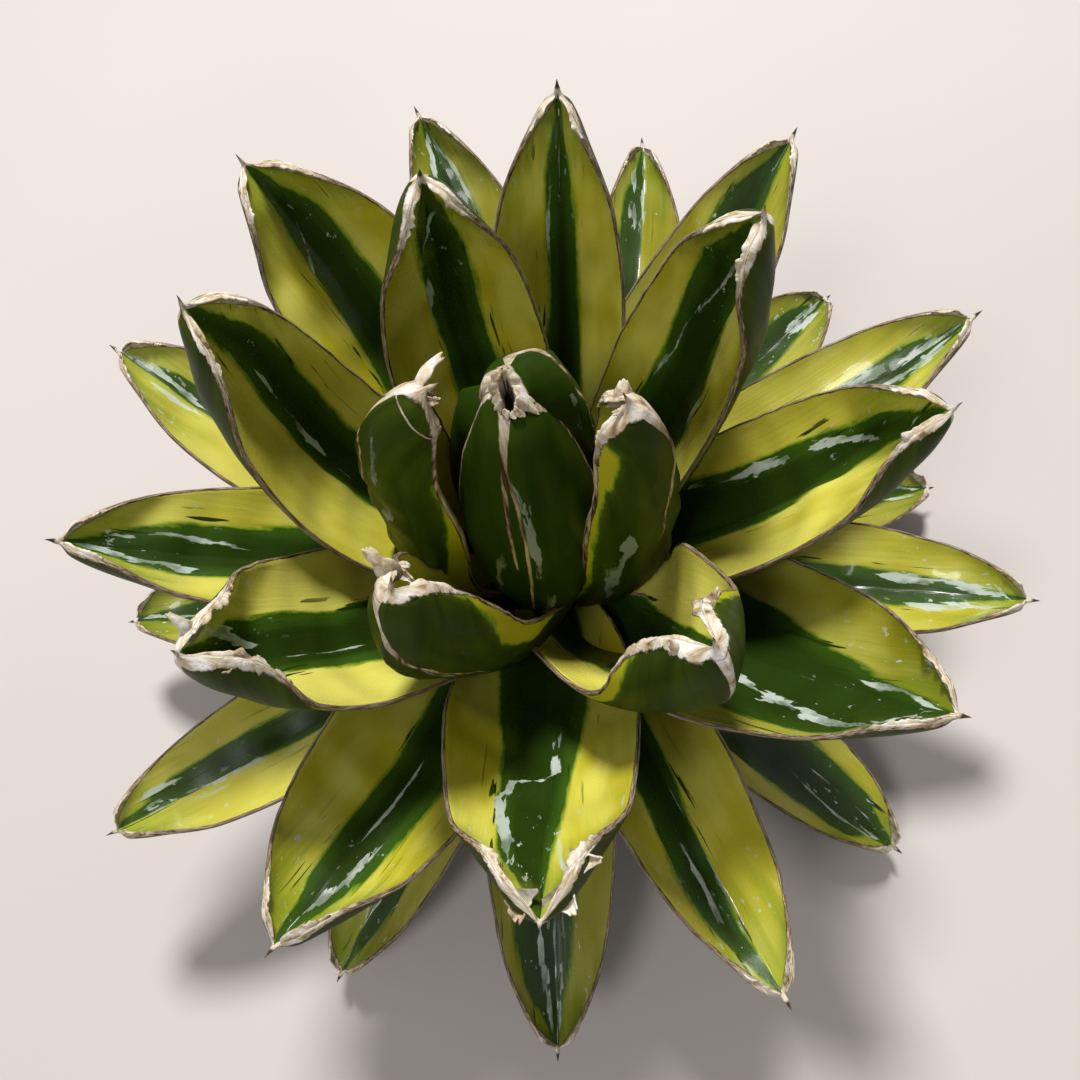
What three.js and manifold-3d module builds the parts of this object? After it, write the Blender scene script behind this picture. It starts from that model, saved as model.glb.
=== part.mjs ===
// Queen victoria agave, variegated form: one rosette of keeled leaves round a closed heart,
// on a short cut stem. Millimetres, +Z up. The cut foot of the stem lies on z = 0.
import * as THREE from 'three';
import { mergeVertices } from 'three/addons/utils/BufferGeometryUtils.js';
import Module from 'manifold-3d';

const wasm = await Module();
wasm.setup();

// ---- driving dimensions ------------------------------------------------------------------
const leafLength = 89.5;           // a full-grown leaf from its foot to the end of its spine
const leafCount = 31;              // open leaves, counted from the heart outwards
const apexHeight = 50;             // level from which the leaf feet are counted down
const heartSink = 5;               // the innermost feet sit this much deeper
const heartShift = 3;              // and this much towards -y, the crown leans a little
const firstTurn = 182.5;           // azimuth of leaf 0, degrees
const divergence = 138.06;         // turn from one leaf to the next, degrees
const riseInner = 89.8;            // rise of the chord of leaf 0 above the horizontal, degrees
const riseOuter = -51.1;           // rise the curve would reach at leaf 40
const riseBend = 0.869;            // how the fall from one to the other is spread
const baseRadius = 11.7;           // leaf foot from the stem axis
const baseSpread = 2.6;            // how much farther out the lowest leaf foot sits
const baseDrop = 22.5;             // height over which 40 leaves would be spread
const shortInner = 0.912;          // length of the innermost leaf as a share of leafLength
const bowInner = 0.115;            // sag of the middle line of leaf 0, share of its length
const spineLength = 3.6;
const spineRadius = 0.75;
const halfWidth = 14.6;            // half the unrolled width of a leaf at its widest
const keelDepth = 6.4;             // from the bottom of the trough to the keel
const marginThick = 1.3;           // horny margin
const widestAt = 0.42;             // where the leaf is widest, share of its length
const footWidth = 0.56;            // width at the foot, share of the widest
const gap = 0.36;                  // clearance cut between neighbouring pieces
const stemRadius = 11;
const footRadius = 15.5;

// Leaves lean and turn a little away from the rule, each in its own way (degrees).
const leanAside = {
  0: 2, 1: 4, 3: -1.5, 7: 4, 8: 1, 10: 7, 11: -1, 12: -10, 13: 3, 14: 4, 15: -4, 16: 2, 17: 2, 18: 4,
  19: -5, 21: -6, 24: -8, 25: -3, 26: -2, 27: -8, 29: 1, 30: 3,
};
const turnAside = {
  0: -7, 1: 10, 2: 2, 3: -2, 5: 3, 6: 3, 8: 2, 12: 2, 13: 2, 14: -2, 18: -2, 19: -1.5, 24: 3,
  29: 3,
};
const lengthAside = { 0: 0.955, 1: 0.93, 2: 1.035, 3: 0.95, 4: 1.04, 5: 1.03, 6: 0.93, 10: 1.025, 21: 1.05 };
const widthAside = {
  0: 0.92, 1: 0.93, 2: 1.12, 3: 1.14, 4: 1.12, 5: 1.2, 6: 1.34, 8: 1.27, 9: 1.14, 10: 1.3, 11: 1.3,
  14: 1.36, 15: 0.95, 16: 1.26, 17: 0.92, 19: 0.97, 20: 0.82, 21: 0.95, 22: 0.95, 27: 0.9,
  29: 0.93, 30: 0.88,
};
// Foot width as a share of the widest, and how much farther out the foot stands in mm.
const footAside = { 0: 0.85, 1: 0.95, 3: 1, 6: 0.85, 8: 0.85 };
const outAside = { 0: 1.3, 1: 4 };
// How far the two halves of a blade are folded up, degrees; open leaves follow the rule.
const foldAside = { 0: 72, 1: 74, 2: 42, 3: 72, 4: 46, 5: 40, 6: 56, 7: 38 };
// Outward bow of the middle line, share of the length; a higher power makes it more like a box.
const bowAside = { 0: 0.12, 1: 0.052, 3: 0.105, 6: 0.12, 8: 0.085 };
const bowPowerAside = { 0: 6, 1: 3.5, 3: 4, 6: 4, 8: 3 };
// Sideways curve of the middle line, share of the length.
const bendAside = {
  2: 0.01, 4: 0.02, 5: 0.045, 9: -0.015, 10: -0.033, 14: -0.02, 15: -0.05, 16: 0.015, 17: -0.02,
  18: 0.04, 20: -0.07, 21: 0.035, 22: 0.0,
};
// Roll about the middle line, degrees; then the swing of wavy margins in mm, and its phase.
const rollAside = { 1: 12, 3: -5, 6: 4, 8: -8 };
const waveAside = { 3: 1.3, 6: 2.6, 8: 1.3, 11: 0.9, 14: 0.7, 16: 0.6 };
const phaseAside = { 3: 2.54, 6: 0 };
// Blunt hoods: 1 closes the tip like the bow of a canoe, 0 leaves a plain pointed arch.
const hoodAside = {
  0: 1.2, 1: 1.1, 2: 0.6, 3: 1, 4: 0.9, 5: 1.0, 6: 1, 7: 0.3, 8: 1, 9: 0.9, 10: 0.9, 11: 1.3,
  16: 0.8, 21: 0.8,
};
// Where along the leaf a hood starts to close, and how far it folds, degrees.
const closeFromAside = { 3: 0.7, 6: 0.76 };
const closeFoldAside = { 3: 105, 5: 75, 6: 112, 10: 80, 11: 80, 14: 80 };
const rollFullAt = 0.6;            // a roll grows from the foot to here, share of the length
const closeFrom = 0.78;
const closeFold = 95;

// The three leaves still closed round the heart: turn, rise, length, foot radius, bow, fold, width.
const heartLeaves = [
  { name: 'heart_leaf_1', turn: 128, rise: 96, length: 78, foot: 7.5, bow: 0.11, fold: 88, width: 13.5 },
  {
    name: 'heart_leaf_2', turn: 266, rise: 94, length: 82.5, foot: 6, bow: 0.13, fold: 66, width: 16.4, hood: 0.2,
  },
  { name: 'heart_leaf_3', turn: 52, rise: 96, length: 84, foot: 9, bow: 0.11, fold: 84, width: 13.5 },
];

const rad = (degrees) => degrees * Math.PI / 180;

// ---- leaves ------------------------------------------------------------------------------
function openLeaf(index) {
  const age = index / 40;
  const young = Math.exp(-index / 1.3);
  const inner = Math.exp(-index / 6);
  const outer = Math.min(1, index / 20);
  return {
    name: `leaf_${String(index + 1).padStart(2, '0')}`,
    turn: firstTurn + divergence * index + (turnAside[index] ?? 0),
    rise: riseInner + (riseOuter - riseInner) * age ** riseBend + (leanAside[index] ?? 0),
    length: (leafLength * (1 - (1 - shortInner) * young) + heartSink * inner) * (lengthAside[index] ?? 1),
    foot: baseRadius + baseSpread * index / leafCount + (outAside[index] ?? 0),
    drop: baseDrop * age + heartSink * inner,
    shift: heartShift * inner,
    bow: bowAside[index] ?? bowInner * (1 - outer),
    bowPower: bowPowerAside[index] ?? 2,
    bend: bendAside[index] ?? 0,
    roll: rollAside[index] ?? 0,
    closeFrom: closeFromAside[index] ?? closeFrom,
    closeFold: closeFoldAside[index] ?? closeFold,
    wave: waveAside[index] ?? 0.3,
    phase: phaseAside[index],
    hood: hoodAside[index] ?? 0.5,
    fold: foldAside[index] ?? 38 + 22 * Math.exp(-index / 6),
    width: halfWidth * (widthAside[index] ?? 1),
    footShare: footAside[index] ?? footWidth,
  };
}

function widthShare(s, hood, foot) {
  if (s < widestAt) return foot + (1 - foot) * Math.sin(Math.PI / 2 * s / widestAt);
  const q = (s - widestAt) / (1 - widestAt);
  return Math.max(0, 1 - q ** 2.1) ** (0.75 - 0.27 * hood);
}

function depthShare(s) {
  const swell = 0.62 + 0.38 * Math.sin(Math.PI / 2 * Math.min(1, s / 0.4));
  return swell * (1 - 0.2 * s) * Math.sqrt(Math.max(0, 1 - s ** 8));
}

// One cross-section as [sideways, upwards] pairs: trough from margin to margin, then the keel.
function section(leaf, s, grow) {
  const hood = leaf.hood ?? 1;
  const close = THREE.MathUtils.smoothstep(s, leaf.closeFrom ?? closeFrom, 1);
  const width = leaf.width * widthShare(s, hood, leaf.footShare ?? footWidth) + grow;
  const fold = rad(leaf.fold + ((leaf.closeFold ?? closeFold) - leaf.fold) * close * (0.3 + 0.6 * hood));
  const start = 0.3 * fold;
  const curl = fold - start;
  const depth = Math.max(marginThick, keelDepth * depthShare(s)) + 2 * grow;
  const edge = marginThick * (1 + 0.7 * hood * close) + 2 * grow;
  const swing = (leaf.wave ?? 0.3) * Math.sin(Math.PI * s);
  const ripple = (side) => swing * Math.sin(11 * s + 2.4 * side + (leaf.phase ?? leaf.turn));
  const heading = (a) => start + curl * a;
  const upper = (a) => [
    width * (Math.sin(heading(a)) - Math.sin(start)) / curl,
    width * (Math.cos(start) - Math.cos(heading(a))) / curl,
  ];
  const raised = (a) => {
    const [x, y] = upper(a);
    return [Math.max(0.3 * a, x - Math.sin(heading(a)) * grow), y + Math.cos(heading(a)) * grow];
  };
  const lower = (a) => {
    const [x, y] = raised(a);
    const thick = edge + (depth - edge) * (1 - a ** 1.5);
    return [x + Math.sin(heading(a)) * thick, y - Math.cos(heading(a)) * thick];
  };
  const trough = [1, 0.6, 0, 0.6, 1].map((a, k) => {
    const [x, y] = raised(a);
    const side = k < 2 ? -1 : 1;
    return [side * x, y + a * a * ripple(side)];
  });
  const under = [1, 0.55, 0, 0.55, 1].map((a, k) => {
    if (a === 0) return [0, grow - depth];
    const [x, y] = lower(a);
    const side = k < 2 ? 1 : -1;
    return [side * x, y + a * a * ripple(side)];
  });
  const roll = rad(leaf.roll ?? 0) * THREE.MathUtils.smoothstep(s, 0, rollFullAt);
  return [...trough, ...under].map(([x, y]) => [
    x * Math.cos(roll) - y * Math.sin(roll),
    x * Math.sin(roll) + y * Math.cos(roll),
  ]);
}

const stations = [0, 0.1, 0.2, 0.31, 0.42, 0.54, 0.66, 0.77, 0.86, 0.93, 0.975];

function leafSolid(leaf, grow = 0) {
  const turn = rad(leaf.turn);
  const rise = rad(leaf.rise);
  const out = new THREE.Vector3(Math.cos(turn), Math.sin(turn), 0);
  const side = new THREE.Vector3(-Math.sin(turn), Math.cos(turn), 0);
  const blade = leaf.length - spineLength;
  const place = (along, sag) => {
    const r = leaf.foot + along * Math.cos(rise) + sag * Math.sin(rise);
    const z = apexHeight - (leaf.drop ?? heartSink) + along * Math.sin(rise) - sag * Math.cos(rise);
    return new THREE.Vector3(r * out.x, r * out.y - (leaf.shift ?? heartShift), z);
  };
  const middle = (s) => {
    const swell = (1 - Math.abs(2 * s - 1) ** (leaf.bowPower ?? 2)) * leaf.length;
    const along = s * blade - (s < 0.02 ? grow : 0);
    return place(along, leaf.bow * swell).addScaledVector(side, (leaf.bend ?? 0) * swell);
  };
  const points = [];
  const ring = (s, pairs) => {
    const centre = middle(s);
    const tangent = middle(s + 0.01).sub(middle(s - 0.01)).normalize();
    const normal = new THREE.Vector3().crossVectors(tangent, side).normalize();
    if (normal.dot(new THREE.Vector3(-Math.sin(rise) * out.x, -Math.sin(rise) * out.y, Math.cos(rise))) < 0) {
      normal.negate();
    }
    for (const [x, y] of pairs) {
      points.push(centre.clone().addScaledVector(side, x).addScaledVector(normal, y));
    }
    return tangent;
  };
  for (const s of stations) ring(s, section(leaf, s, grow));
  const neck = [];
  for (let k = 0; k < 10; k += 1) {
    const angle = Math.PI - (k + 0.5) * Math.PI / 5;
    const across = k < 5 ? spineRadius : spineRadius + grow;
    neck.push([across * Math.cos(angle), (spineRadius + grow) * Math.sin(angle) - 0.4]);
  }
  const tangent = ring(1, neck);
  const tip = middle(1).addScaledVector(tangent, spineLength + grow);
  points.push(tip);
  const n = 10;
  const rings = stations.length + 1;
  const faces = [];
  for (let j = 0; j + 1 < rings; j += 1) {
    for (let k = 0; k < n; k += 1) {
      const a = j * n + k;
      const b = j * n + (k + 1) % n;
      faces.push([a, b, b + n], [a, b + n, a + n]);
    }
  }
  const last = (rings - 1) * n;
  for (let k = 0; k < n; k += 1) faces.push([last + k, last + (k + 1) % n, points.length - 1]);
  for (let k = 0; k < 4; k += 1) {
    faces.push([k + 1, k, n - 1 - k], [k + 1, n - 1 - k, n - 2 - k]);
  }
  return solid(points, faces);
}

// ---- mesh helpers ------------------------------------------------------------------------
function solid(points, faces) {
  const vertProperties = new Float32Array(points.length * 3);
  points.forEach((p, k) => vertProperties.set([p.x, p.y, p.z], 3 * k));
  let triVerts = Uint32Array.from(faces.flat());
  let volume = 0;
  for (const [a, b, c] of faces) {
    volume += points[a].dot(new THREE.Vector3().crossVectors(points[b], points[c]));
  }
  if (volume < 0) triVerts = Uint32Array.from(faces.map(([a, b, c]) => [a, c, b]).flat());
  return new wasm.Manifold(new wasm.Mesh({ numProp: 3, vertProperties, triVerts }));
}

function turned(profile, sides) {
  const points = [];
  const faces = [];
  for (const [r, z] of profile) {
    for (let k = 0; k < sides; k += 1) {
      const angle = 2 * Math.PI * k / sides;
      points.push(new THREE.Vector3(r * Math.cos(angle), r * Math.sin(angle), z));
    }
  }
  for (let j = 0; j + 1 < profile.length; j += 1) {
    for (let k = 0; k < sides; k += 1) {
      const a = j * sides + k;
      const b = j * sides + (k + 1) % sides;
      faces.push([a, b, b + sides], [a, b + sides, a + sides]);
    }
  }
  const foot = points.push(new THREE.Vector3(0, 0, profile[0][1])) - 1;
  const top = points.push(new THREE.Vector3(0, 0, profile[profile.length - 1][1])) - 1;
  const last = (profile.length - 1) * sides;
  for (let k = 0; k < sides; k += 1) {
    faces.push([foot, (k + 1) % sides, k], [last + k, last + (k + 1) % sides, top]);
  }
  return solid(points, faces);
}

function largest(body) {
  const pieces = body.decompose();
  return pieces.reduce((best, piece) => (piece.volume() > best.volume() ? piece : best), pieces[0]);
}

function meshOf(body, name, colour) {
  const { vertProperties, triVerts } = body.getMesh();
  const geometry = new THREE.BufferGeometry();
  geometry.setAttribute('position', new THREE.BufferAttribute(new Float32Array(vertProperties), 3));
  geometry.setIndex(new THREE.BufferAttribute(new Uint32Array(triVerts), 1));
  const merged = mergeVertices(geometry, 1e-4);
  merged.computeVertexNormals();
  const mesh = new THREE.Mesh(merged, new THREE.MeshStandardMaterial({ color: colour, roughness: 0.4 }));
  mesh.name = name;
  return mesh;
}

// ---- stem and heart ----------------------------------------------------------------------
// The stem steps in at every ring of old leaf scars, then domes over below the heart.
const stemProfile = [[footRadius - 0.6, 0], [footRadius, 0.8]];
for (let ring = 0; ring < 5; ring += 1) {
  const z = 3 + ring * 4.2;
  const r = footRadius - 1.2 - ring * 0.5;
  stemProfile.push([r, z], [r + 0.9, z + 2.2], [r + 0.1, z + 3.2]);
}
const crown = apexHeight - heartSink;
stemProfile.push([stemRadius, 26], [stemRadius, crown - 8], [stemRadius - 2, crown - 3]);
stemProfile.push([stemRadius - 5, crown - 0.8], [2, crown]);
const stem = turned(stemProfile, 24);
const stemCutter = turned(stemProfile.map(([r, z]) => [r + gap, z + (z > crown - 4 ? gap : 0)]), 24);

const budProfile = [[2.5, 0.5], [4.6, 10], [5.4, 26], [4.8, 44], [3.1, 60], [1.2, 71], [0.4, 74]];
const budAt = (grow) => turned(budProfile.map(([r, z]) => [r + grow, crown + z]), 12)
  .translate([0, -heartShift, 0]);
const bud = budAt(0);
const budCutter = budAt(gap);

// ---- assembly: every leaf gives way to the ones nearer the heart ---------------------------
const agave = new THREE.Group();
agave.name = 'queen_victoria_agave';
agave.add(meshOf(stem, 'stem', 0x8a7a58));
agave.add(meshOf(bud, 'bud', 0x3f5a22));

const cutters = [stemCutter, budCutter];
const leaves = [...heartLeaves];
for (let index = 0; index < leafCount; index += 1) leaves.push(openLeaf(index));
for (const leaf of leaves) {
  let body = leafSolid(leaf);
  for (const cutter of cutters) body = body.subtract(cutter);
  body = largest(body);
  agave.add(meshOf(body, leaf.name, leaf.name.startsWith('heart') ? 0x41601f : 0x7d8f2a));
  cutters.push(leafSolid(leaf, gap));
}

export default agave;
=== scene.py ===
import math
import random

import bmesh
import bpy
import numpy as np
from mathutils import Matrix, Vector, noise


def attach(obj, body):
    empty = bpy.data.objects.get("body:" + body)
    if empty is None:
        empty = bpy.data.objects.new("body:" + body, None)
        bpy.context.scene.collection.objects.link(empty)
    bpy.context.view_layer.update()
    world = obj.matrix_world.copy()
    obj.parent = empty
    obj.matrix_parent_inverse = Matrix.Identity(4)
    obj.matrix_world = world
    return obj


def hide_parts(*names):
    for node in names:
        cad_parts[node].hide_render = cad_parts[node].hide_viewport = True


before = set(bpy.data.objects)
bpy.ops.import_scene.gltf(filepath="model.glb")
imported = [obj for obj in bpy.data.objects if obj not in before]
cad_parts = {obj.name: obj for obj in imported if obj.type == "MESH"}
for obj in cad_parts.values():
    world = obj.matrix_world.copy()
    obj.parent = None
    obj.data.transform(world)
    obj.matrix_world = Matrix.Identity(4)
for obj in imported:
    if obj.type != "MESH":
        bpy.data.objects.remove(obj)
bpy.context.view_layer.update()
mm = 0.001


# small helpers for operators and meshes
def deselectAll():
    if bpy.context.object and bpy.context.object.mode != "OBJECT":
        bpy.ops.object.mode_set(mode="OBJECT")
    bpy.ops.object.select_all(action="DESELECT")


def pick(piece, extras=()):
    deselectAll()
    for chosen in (*extras, piece):
        chosen.select_set(True)
    bpy.context.view_layer.objects.active = piece


def applyModifier(piece, kind, name, **settings):
    pick(piece)
    modifier = piece.modifiers.new(name, kind)
    for key, value in settings.items():
        setattr(modifier, key, value)
    bpy.ops.object.modifier_apply(modifier=name)


def copyOf(piece, name):
    made = piece.copy()
    made.data = piece.data.copy()
    made.name = name
    made.data.name = name
    bpy.context.scene.collection.objects.link(made)
    return made


def joinInto(piece, extras):
    pick(piece, extras)
    bpy.ops.object.join()


def mergeDoubles(piece, gap, faceOutwards=False):
    pick(piece)
    bpy.ops.object.mode_set(mode="EDIT")
    bpy.ops.mesh.select_all(action="SELECT")
    bpy.ops.mesh.remove_doubles(threshold=gap)
    if faceOutwards:
        bpy.ops.mesh.normals_make_consistent(inside=False)
    bpy.ops.object.mode_set(mode="OBJECT")


def verticesOf(mesh):
    flat = np.zeros(len(mesh.vertices) * 3, np.float32)
    mesh.vertices.foreach_get("co", flat)
    return flat.reshape(-1, 3).astype(float)


def setVertices(mesh, points):
    # points in millimetres
    mesh.vertices.foreach_set("co", (points * mm).astype(np.float32).ravel())
    mesh.update()


def writeMark(mesh, name, values):
    # one number or one vector for each vertex
    values = np.asarray(values, np.float32)
    kind, field = ("FLOAT_VECTOR", "vector") if values.ndim == 2 else ("FLOAT", "value")
    layer = mesh.attributes.get(name) or mesh.attributes.new(name, kind, "POINT")
    layer.data.foreach_set(field, values.ravel())


def finishPiece(piece, node=None):
    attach(piece, "root")
    if node:
        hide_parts(node)


def easeStep(value, low, high):
    t = np.clip((value - low) / (high - low), 0, 1)
    return t * t * (3 - 2 * t)


def curveAt(points, values, column=1):
    # reads a curve that is given as points of a share and its values
    return np.interp(values, [point[0] for point in points], [point[column] for point in points])


def unit(vectors):
    return vectors / np.linalg.norm(vectors, axis=1)[:, None]


def noiseRow(seed, values, scale):
    return np.array([noise.noise(Vector((value * scale, seed * 3.7, seed * 1.3))) for value in values])


def noiseRound(angles, size, rest):
    # noise on a ring of that size, so that it closes; the rest is its third coordinate
    return np.array([noise.noise(Vector((math.cos(a) * r, math.sin(a) * r, third)))
                     for a, r, third in np.broadcast(angles, size, rest)])


# small helpers for materials; most find their node tree through a socket
def feed(node, feeds):
    for key, value in feeds.items():
        if isinstance(value, bpy.types.NodeSocket):
            node.id_data.links.new(value, node.inputs[key])
        else:
            node.inputs[key].default_value = value


def put(tree, kind, settings=None, feeds=None):
    made = tree.nodes.new(kind)
    for key, value in (settings or {}).items():
        setattr(made, key, value)
    feed(made, feeds or {})
    return made


def calc(operation, first, second=0.0, clamp=False):
    tree = (first if isinstance(first, bpy.types.NodeSocket) else second).id_data
    settings = {"operation": operation, "use_clamp": clamp}
    return put(tree, "ShaderNodeMath", settings, {0: first, 1: second}).outputs[0]


def chain(operation, values):
    total = values[0]
    for value in values[1:]:
        total = calc(operation, total, value)
    return total


def plus(*terms):
    return chain("ADD", terms)


def times(*factors):
    return chain("MULTIPLY", factors)


def most(values):
    return chain("MAXIMUM", values)


def scaled(value, factor, offset, clamp=False):
    return calc("ADD", times(value, factor), offset, clamp)


def swing(pattern, width):
    # a pattern from 0 to 1 as a swing of that width to both sides of nothing
    return times(calc("SUBTRACT", pattern, 0.5), width)


def blendColours(share, first, second):
    feeds = {0: share, 6: first, 7: second}
    return put(share.id_data, "ShaderNodeMix", {"data_type": "RGBA"}, feeds).outputs[2]


def blendValues(share, first, second):
    feeds = {0: share, 2: first, 3: second}
    return put(share.id_data, "ShaderNodeMix", {"data_type": "FLOAT"}, feeds).outputs[0]


def stain(share, colour, hexText):
    return blendColours(share, colour, paint(hexText))


def attribute(surface, name, output="Fac"):
    return put(surface.id_data, "ShaderNodeAttribute", {"attribute_name": name}).outputs[output]


def objectPlace(surface):
    return put(surface.id_data, "ShaderNodeTexCoord").outputs["Object"]


def easeBetween(value, low, high):
    settings = {"interpolation_type": "SMOOTHSTEP", "clamp": True}
    feeds = {0: value, 1: low, 2: high, 3: 0.0, 4: 1.0}
    return put(value.id_data, "ShaderNodeMapRange", settings, feeds).outputs[0]


def noiseOn(place, stretch, detail=2.0, roughness=0.5):
    tree = place.id_data
    scaledPlace = put(tree, "ShaderNodeMapping", None, {"Vector": place, "Scale": stretch}).outputs[0]
    feeds = {"Vector": scaledPlace, "Scale": 1.0, "Detail": detail, "Roughness": roughness}
    return put(tree, "ShaderNodeTexNoise", None, feeds).outputs[0]


def ramp(share, paints, stops):
    made = put(share.id_data, "ShaderNodeValToRGB", None, {0: share})
    band = made.color_ramp
    while len(band.elements) < len(stops):
        band.elements.new(0.5)
    for element, (position, name) in zip(band.elements, stops):
        element.position = position
        element.color = paint(paints[name])
    return made.outputs[0]


def addBump(surface, height, strength, reach):
    # reach in mm
    feeds = {"Strength": strength, "Distance": reach * mm, "Height": height}
    feed(surface, {"Normal": put(surface.id_data, "ShaderNodeBump", None, feeds).outputs[0]})


def newMaterial(name):
    material = bpy.data.materials.new(name)
    material.use_nodes = True
    tree = material.node_tree
    tree.nodes.clear()
    surface = put(tree, "ShaderNodeBsdfPrincipled")
    put(tree, "ShaderNodeOutputMaterial", {"location": (400, 0)}, {0: surface.outputs[0]})
    return material, surface


def paint(hexText):
    # a colour as it is seen, turned into the linear light that the shader wants
    parts = [int(hexText[k:k + 2], 16) / 255 for k in (0, 2, 4)]
    return (*(c / 12.92 if c <= 0.04045 else ((c + 0.055) / 1.055) ** 2.4 for c in parts), 1)


# the leaf rule: the same driving dimensions as the solids, in millimetres and degrees
leafRule = {
    "length": 89.5, "count": 31, "apexHeight": 50, "heartSink": 5, "heartShift": 3,
    "firstTurn": 182.5, "divergence": 138.06,
    "riseInner": 89.8, "riseOuter": -51.1, "riseBend": 0.869,
    "baseRadius": 11.7, "baseSpread": 2.6, "baseDrop": 22.5, "shortInner": 0.912, "bowInner": 0.115,
    "spineLength": 3.6, "spineRadius": 0.75, "halfWidth": 14.6, "keelDepth": 6.4,
    "marginThick": 1.3, "widestAt": 0.42, "footWidth": 0.56,
    "ageSpan": 40, "youngFade": 1.3, "innerFade": 6, "foldOuter": 38, "foldInner": 22,
    "closeFrom": 0.78, "closeFold": 95, "wave": 0.3,
    "leanAside": {
        0: 2, 1: 4, 3: -1.5, 6: 0, 7: 4, 8: 1, 10: 7, 11: -1, 12: -10, 13: 3, 14: 4, 15: -4, 16: 2, 17: 2,
        18: 4, 19: -5, 21: -6, 24: -8, 25: -3, 26: -2, 27: -8, 29: 1, 30: 3,
    },
    "turnAside": {
        0: -7, 1: 10, 2: 2, 3: -2, 5: 3, 6: 3, 8: 2, 12: 2, 13: 2, 14: -2, 18: -2, 19: -1.5, 24: 3, 29: 3,
    },
    "foldAside": {0: 72, 1: 74, 2: 42, 3: 72, 4: 46, 5: 40, 6: 56, 7: 38},
    "widthAside": {
        0: 0.92, 1: 0.93, 2: 1.12, 3: 1.14, 4: 1.12, 5: 1.2, 6: 1.34, 8: 1.27, 9: 1.14, 10: 1.3, 11: 1.3,
        14: 1.36, 15: 0.95, 16: 1.26, 17: 0.92, 19: 0.97, 20: 0.82, 21: 0.95, 22: 0.95, 27: 0.9, 29: 0.93,
        30: 0.88,
    },
    "bowAside": {0: 0.12, 1: 0.052, 3: 0.105, 6: 0.12, 8: 0.085},
    "bowPowerAside": {0: 6, 1: 3.5, 3: 4, 6: 4, 8: 3},
    "footAside": {0: 0.85, 1: 0.95, 3: 1, 6: 0.85, 8: 0.85},
    "outAside": {0: 1.3, 1: 4},
    "rollAside": {1: 12, 3: -5, 6: 4, 8: -8},
    "closeFromAside": {3: 0.7, 6: 0.76},
    "closeFoldAside": {3: 105, 5: 75, 6: 112, 10: 80, 11: 80, 14: 80},
    "lengthAside": {0: 0.955, 1: 0.93, 2: 1.035, 3: 0.95, 4: 1.04, 5: 1.03, 6: 0.93, 10: 1.025, 21: 1.05},
    "bendAside": {
        2: 0.01, 4: 0.02, 5: 0.045, 9: -0.015, 10: -0.033, 14: -0.02, 15: -0.05, 16: 0.015, 17: -0.02,
        18: 0.04, 20: -0.07, 21: 0.035, 22: 0,
    },
    "waveAside": {3: 1.3, 6: 2.6, 8: 1.3, 11: 0.9, 16: 0.6, 14: 0.7},
    "phaseAside": {3: 2.54, 6: 0},
    "hoodAside": {
        0: 1.2, 1: 1.1, 2: 0.6, 3: 1, 4: 0.9, 5: 1, 6: 1, 7: 0.3, 8: 1, 9: 0.9, 10: 0.9, 11: 1.3, 16: 0.8,
        21: 0.8,
    },
}
heartLeaves = (
    {"turn": 128, "rise": 96, "length": 78, "foot": 7.5, "bow": 0.11, "fold": 88, "width": 13.5},
    {"turn": 266, "rise": 94, "length": 82.5, "foot": 6, "bow": 0.13, "fold": 66, "width": 16.4, "hood": 0.2},
    {"turn": 52, "rise": 96, "length": 84, "foot": 9, "bow": 0.11, "fold": 84, "width": 13.5},
)

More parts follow.
